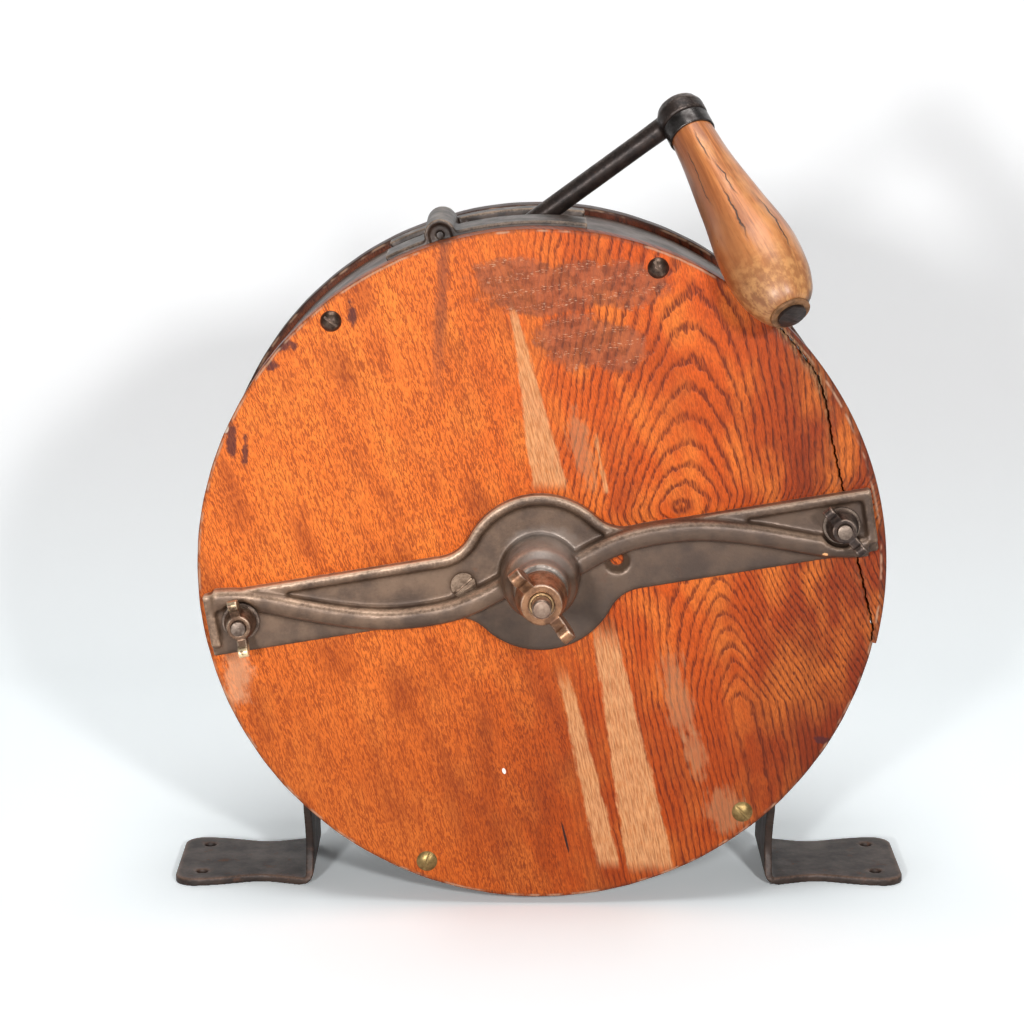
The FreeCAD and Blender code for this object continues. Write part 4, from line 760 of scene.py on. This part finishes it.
spring_steel = metal("spring steel", colour(0.14, 0.13, 0.12), colour(0.3, 0.29, 0.28),
                     colour(0.6, 0.58, 0.55), 4.0, (0.28, 0.42), 0.9)
for wheel, body in (("front", "front_wheel"), ("rear", "spindle")):
    dress(wheel + "_buff_board", wheel_wood)
    dress(wheel + "_buff_leather", buff_leather)
    softened(wheel + "_buff_hub", 0.5, hub_iron, body)
    dress(wheel + "_hub_screws", dark_screw)
dress("pressure_spring", spring_steel)

BRUSH_INNER, BRUSH_OUTER = 80.0, 102.0
hair = Finish("bristle")
hair_strand = hair.noise(hair.x / 0.5, hair.y / 9, hair.z / 0.5, 2.0, 0.6)
hair_dust = hair.clouds(9.0, 4.0, 0.6)
hair_tone = hair.blend(hair_strand.rise(0.35, 0.65), colour(0.04, 0.028, 0.02), colour(0.2, 0.14, 0.09))
hair_tone = hair.blend(hair_dust.rise(0.5, 0.75, 0.0, 0.45), hair_tone, colour(0.26, 0.17, 0.11))
bristle = hair.paint(hair_tone, 0.75, 0.0, hair_strand * 0.2)


def brush(name, root, tip, node, body):
    """Ring of tufts: a ring's section carried round, its tip face pushed in between tufts set in five rows.

    tuft(angle, radius) = |sine across * cosine round|^0.6, so each tuft is a dome and the gaps are deep.
    """
    turns, rows, tuft_rows, waves_round = 960, 46, 5, 60
    angle = np.linspace(0, 2 * np.pi, turns, endpoint=False)[:, None]
    radius = np.linspace(BRUSH_INNER + 0.2, BRUSH_OUTER - 0.2, rows)[None, :]
    row = (radius - BRUSH_INNER) / (BRUSH_OUTER - BRUSH_INNER) * tuft_rows
    waves = np.abs(np.sin(np.pi * row) * np.cos(waves_round * angle + np.floor(row) * np.pi / 2)) ** 0.6
    depth = tip + (root - tip) * 0.42 * (1 - waves)
    spread = np.stack([radius * np.cos(angle), depth, radius * np.sin(angle)], -1)
    back = np.stack([radius * np.cos(angle), np.full_like(depth, root), radius * np.sin(angle)], -1)[:, ::-1]
    grid = np.concatenate([spread, back[:, ::9]], 1)
    made = piece(name, add_height(grid), grid_faces(*grid.shape[:2]), body, 60.0)
    made.data.materials.append(bristle)
    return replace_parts(made, node)


brush("front_brush", 0.8, 14.6, "front_buff_bristle", "front_wheel")
brush("rear_brush", 29.2, 15.4, "rear_buff_bristle", "spindle")


# Pressure adjuster
# Winged casting on a sleeve that screws through the boss and presses the wheels together, with a brass
# bushing inside it for the spindle. Red brown, with wings rubbed to silver.

adjuster_iron = metal("adjuster iron", colour(0.12, 0.055, 0.028), colour(0.34, 0.17, 0.085),
                      colour(0.6, 0.44, 0.33), 5.0, (0.26, 0.45), 0.6, 0.9, 0.06,
                      colour(0.25, 0.095, 0.04), 0.08)
bushing_brass = metal("bushing brass", colour(0.3, 0.18, 0.09), colour(0.5, 0.33, 0.17),
                      colour(0.75, 0.55, 0.32), 3.0, (0.28, 0.45), 0.85, 0.8)
casting("adjuster", 0.36, adjuster_iron, "adjuster", 2, 3)
softened("adjuster_bushing", 0.25, bushing_brass, "adjuster")


# Crank
# Forged arm that lies stowed in the knife slot, its domed knuckle riveted to the pin that the grip turns on.
# Nearly black, with the forge scale worn off the knuckle.

crank_steel = metal("crank steel", colour(0.016, 0.011, 0.01), colour(0.045, 0.032, 0.027),
                    colour(0.34, 0.26, 0.22), 5.0, (0.26, 0.42), 0.5, 1.0, 0.07,
                    colour(0.1, 0.045, 0.024), 0.05, 0.7)
casting("crank_arm", 0.62, crank_steel, "crank")
softened("grip_pin", 0.3, crank_steel, "crank")


# Grip
# Turned hardwood grip on a steel ferrule, polished by hands, with long dry cracks and a bruised, mottled end;
# shade is painted dark over its end face.

PIN = np.array([62.4, 2.5, 354.1])
GRIP_WAY = np.array([0.36811942881872156, -0.6517132560517342, -0.6631424568014214])
GRIP_START, NECK_END, GRIP_FINISH = 5.8, 13.4, 116.4
GRIP_STATIONS = np.array([0, 0.136, 0.406, 0.738, 0.883, 0.965, 1.0]) * (GRIP_FINISH - NECK_END) + NECK_END
GRIP_RADII = np.array([9.8, 11.0, 14.3, 18.0, 16.2, 13.0, 10.6])
GRIP_BORE, FERRULE_SEAT = 4.06, 9.4
# Each crack: its place round the grip in radians, where it starts and ends in mm, its half width in radians.
GRIP_CRACKS = ((1.0, 20, 36, 0.04), (1.14, 40, 60, 0.026), (0.86, 56, 84, 0.028), (0.3, 26, 58, 0.02),
               (1.75, 66, 96, 0.03), (2.4, 22, 62, 0.04), (-0.6, 30, 80, 0.04), (-2.0, 50, 100, 0.05))

ferrule_steel = metal("ferrule steel", colour(0.035, 0.03, 0.028), colour(0.12, 0.11, 0.105),
                      colour(0.6, 0.58, 0.56), 5.0, (0.2, 0.36), 0.9, 0.9, 0.03)
softened("ferrule", 0.4, ferrule_steel, "grip", 3)
end_steel = metal("end washer", colour(0.12, 0.055, 0.022), colour(0.27, 0.13, 0.055),
                  colour(0.34, 0.2, 0.1), 4.0, (0.5, 0.7), 0.1)
softened("grip_washer", 0.2, end_steel, "grip")


def curve_through(stations, values, at):
    """Smooth curve through the values: a cubic in each stretch, with slopes from the points beside it."""
    slopes = np.gradient(values, stations)
    place = np.clip(np.searchsorted(stations, at, side="right") - 1, 0, len(stations) - 2)
    width = stations[place + 1] - stations[place]
    share = (at - stations[place]) / width
    start = values[place] * (1 + 2 * share) * (1 - share) ** 2
    end = values[place + 1] * share ** 2 * (3 - 2 * share)
    lean = slopes[place] * (1 - share) - slopes[place + 1] * share
    return start + end + width * share * (1 - share) * lean


def turned_grip(turns=300, steps=150):
    """Closed turned section carried round the pin: radius(way) * (cos, sin) on the two axes across the pin.

    The radius loses a little in slow waves, and more in two chips at the end's corner. The second result is
    each point's place on a plain round bar of 14 mm radius, which the wood's grain follows.
    """
    way = np.linspace(NECK_END, GRIP_FINISH, steps)
    out = curve_through(GRIP_STATIONS, GRIP_RADII, way)
    last = np.clip((way - GRIP_FINISH + 1.6) / 1.6, 0, 1)
    out = out - 1.2 * (1 - np.sqrt(1 - last ** 2))
    bore = [(GRIP_FINISH, 9.0), (GRIP_FINISH, 6.0), (GRIP_FINISH, GRIP_BORE), (60.0, GRIP_BORE),
            (GRIP_START, GRIP_BORE), (GRIP_START, FERRULE_SEAT), (NECK_END - 0.05, FERRULE_SEAT)]
    section = np.concatenate([np.stack([way, out], -1), bore])
    angle = np.linspace(0, 2 * np.pi, turns, endpoint=False)[:, None]
    outside = np.concatenate([np.ones(steps), np.zeros(len(bore))])
    reach, radius = section[None, :, 0], section[None, :, 1]
    loss = 0.18 * (1 + np.sin(3 * angle + reach / 19)) + 0.1 * (1 + np.sin(7 * angle - reach / 9 + 2))
    chip = 2.4 * np.exp(-((angle - 3.0) / 0.4) ** 2 - ((reach - GRIP_FINISH) / 4.5) ** 2)
    chip = chip + 1.2 * np.exp(-((angle - 4.2) / 0.35) ** 2 - ((reach - GRIP_FINISH) / 3.0) ** 2)
    radius = radius - outside * (loss * np.clip((reach - NECK_END) / 12, 0, 1) + chip)
    first = np.cross(GRIP_WAY, [0, 0, 1])
    first /= np.linalg.norm(first)
    second = np.cross(first, GRIP_WAY)
    across = np.cos(angle)[..., None] * first + np.sin(angle)[..., None] * second
    points = PIN + reach[..., None] * GRIP_WAY + radius[..., None] * across
    plain = np.stack(np.broadcast_arrays(14 * np.cos(angle), reach, 14 * np.sin(angle)), -1)
    return points, plain


grid, unrolled = turned_grip()
mesh = bpy.data.meshes.new("grip_turned")
mesh.from_pydata((grid.reshape(-1, 3) * 0.001).tolist(), [], grid_faces(*grid.shape[:2]))
layer = mesh.attributes.new("turned", "FLOAT_VECTOR", "POINT")
layer.data.foreach_set("vector", unrolled.reshape(-1).astype(np.float32))
tidy_mesh(mesh, 38.0)
grip_piece = bpy.data.objects.new("grip_turned", mesh)
bpy.context.scene.collection.objects.link(grip_piece)
carried(grip_piece, "grip")
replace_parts(grip_piece, "grip")

grip_wood = Finish("grip wood")
turned = grip_wood.node("Attribute", {"attribute_name": "turned"}, (), output="Vector")
side, reach, front = grip_wood.parts(turned)
grain = grip_wood.noise(side / 2.2, reach / 46, front / 2.2, 4.0, 0.6, 0.6)
cloud = grip_wood.noise(side / 9, reach / 24, front / 9, 3.0, 0.6)
fine = grip_wood.noise(side / 0.7, reach / 9, front / 0.7, 2.0, 0.6)
angle = grip_wood.node("Math", {"operation": "ARCTAN2"}, (front, side))
bent = (grip_wood.noise(side / 9 + 3, reach / 9, front / 9, 3.0) - 0.5) * 0.28
crack = None
for turn, start, end, wide in GRIP_CRACKS:
    open_here = reach.rise(start - 5, start + 6) * (1 - reach.rise(end - 9, end + 4))
    line = 1 - abs(angle - turn + bent).rise(wide * 0.4, wide)
    crack = line * open_here if crack is None else crack.most(line * open_here)
tone = grip_wood.blend(grain.rise(0.32, 0.68), colour(0.34, 0.1, 0.024), colour(0.64, 0.225, 0.066))
tone = grip_wood.blend(cloud.rise(0.42, 0.72, 0.0, 0.7), tone, colour(0.78, 0.35, 0.125))
shaded = (side + cloud * 5).rise(10.5, 16.0, 0.0, 0.65)
tone = grip_wood.blend(shaded, tone, colour(0.17, 0.045, 0.016))
tone = grip_wood.blend(fine.rise(0.5, 0.75, 0.0, 0.35), tone, colour(0.17, 0.055, 0.02))
dull = (reach + cloud * 16).rise(92.0, 116.0)
mottle = grip_wood.noise(side / 3, reach / 4, front / 3, 4.0, 0.65).rise(0.4, 0.62)
bruised = grip_wood.blend(mottle, colour(0.2, 0.085, 0.03), colour(0.5, 0.27, 0.1))
tone = grip_wood.blend(dull * 0.6, tone, bruised)
# Painted shade on the end face and its corner, on the side that faces down.
end_shade = (reach + fine * 3 + cloud * 3).rise(115.8, 118.4) * (side * -0.8 - front * 0.5).rise(-3.0, 5.0)
tone = grip_wood.blend(end_shade, tone, colour(0.05, 0.026, 0.018))
tone = grip_wood.blend(crack * 0.92, tone, colour(0.045, 0.018, 0.01))
relief = crack * -0.5 + grain * 0.12 + fine * 0.05
mesh.materials.append(grip_wood.paint(tone, cloud.rise(0.2, 0.8, 0.42, 0.26) + dull * 0.15, 0.0, relief,
                                      Coat_Weight=0.35, Coat_Roughness=0.3))


# Photographer's table
# Sweep of white paper under and behind the machine. The camera sees it nearly white with the soft shadows,
# and the machine is lit and mirrored by plain paper of a lower tone.

SWEEP_DEPTH, SWEEP_ROUND, SWEEP_HEIGHT, SWEEP_REACH = 620.0, 260.0, 1500.0, 2600.0
bend = np.linspace(0, np.pi / 2, 24)
curve = np.stack([SWEEP_DEPTH - SWEEP_ROUND * (1 - np.sin(bend)), SWEEP_ROUND * (1 - np.cos(bend))], -1)
profile = np.concatenate([[(-SWEEP_REACH, 0.0)], curve, [(SWEEP_DEPTH, SWEEP_HEIGHT)]])
points = np.array([[(edge, y, z) for y, z in profile] for edge in (-SWEEP_REACH, SWEEP_REACH)])
paper_mesh = bpy.data.meshes.new("paper")
paper_mesh.from_pydata((points.reshape(-1, 3) * 0.001).tolist(), [],
                       grid_faces(*points.shape[:2], close_rows=False, close_columns=False))
paper = bpy.data.objects.new("paper", paper_mesh)
bpy.context.scene.collection.objects.link(paper)
paper_mesh.shade_smooth()
sheet = Finish("white paper")
sheet.feed(sheet.shader.inputs["Base Color"], colour(0.8, 0.8, 0.8))
sheet.feed(sheet.shader.inputs["Roughness"], 0.9)
sheet.feed(sheet.shader.inputs["Specular IOR Level"], 0.0)
seen = sheet.blend((sheet.y + sheet.z).rise(120.0, 620.0), colour(1.12, 1.18, 1.2), colour(0.93, 0.935, 0.94))
seen = sheet.node("BsdfDiffuse", {}, {"Color": seen})
to_camera = sheet.node("LightPath", {}, (), output="Is Camera Ray")
both = sheet.node("MixShader", {}, {0: to_camera, 1: Value(sheet, sheet.shader.outputs[0]), 2: seen})
sheet.feed(sheet.nodes["Material Output"].inputs["Surface"], both)
paper_mesh.materials.append(sheet.material)


def lamp(name, place, aim, size, power):
    """A square soft light at a place in metres, turned to its aim."""
    made = bpy.data.lights.new(name, "AREA")
    made.shape, made.size, made.energy = "SQUARE", size, power
    shown = bpy.data.objects.new(name, made)
    shown.location = place
    shown.rotation_euler = (Vector(aim) - Vector(place)).to_track_quat("-Z", "Y").to_euler()
    bpy.context.scene.collection.objects.link(shown)


AIM = (0.0, 0.0, 0.17)
lamp("right key", (0.6, -2.0, 0.8), AIM, 0.16, 23.0)
lamp("left key", (-0.58, -2.0, 0.52), AIM, 0.16, 23.0)
lamp("top", (0.0, -0.3, 1.5), AIM, 0.8, 8.0)

world = bpy.data.worlds.new("studio")
world.use_nodes = True
world.node_tree.nodes["Background"].inputs["Color"].default_value = colour(1.0, 1.0, 1.0)
world.node_tree.nodes["Background"].inputs["Strength"].default_value = 0.13
bpy.context.scene.world = world

FOCUS_PIXELS, PHOTO_PIXELS, LOOK_DOWN = 3000, 1024, 12.1
camera = bpy.data.cameras.new("camera")
camera.sensor_width = 36.0
camera.lens = camera.sensor_width * FOCUS_PIXELS / PHOTO_PIXELS
viewer = bpy.data.objects.new("camera", camera)
viewer.location = (-0.0125, -1.3355, 0.4606)
viewer.rotation_euler = (np.radians(90 - LOOK_DOWN), 0, 0)
bpy.context.scene.collection.objects.link(viewer)
bpy.context.scene.camera = viewer
bpy.context.scene.view_settings.view_transform = "Standard"
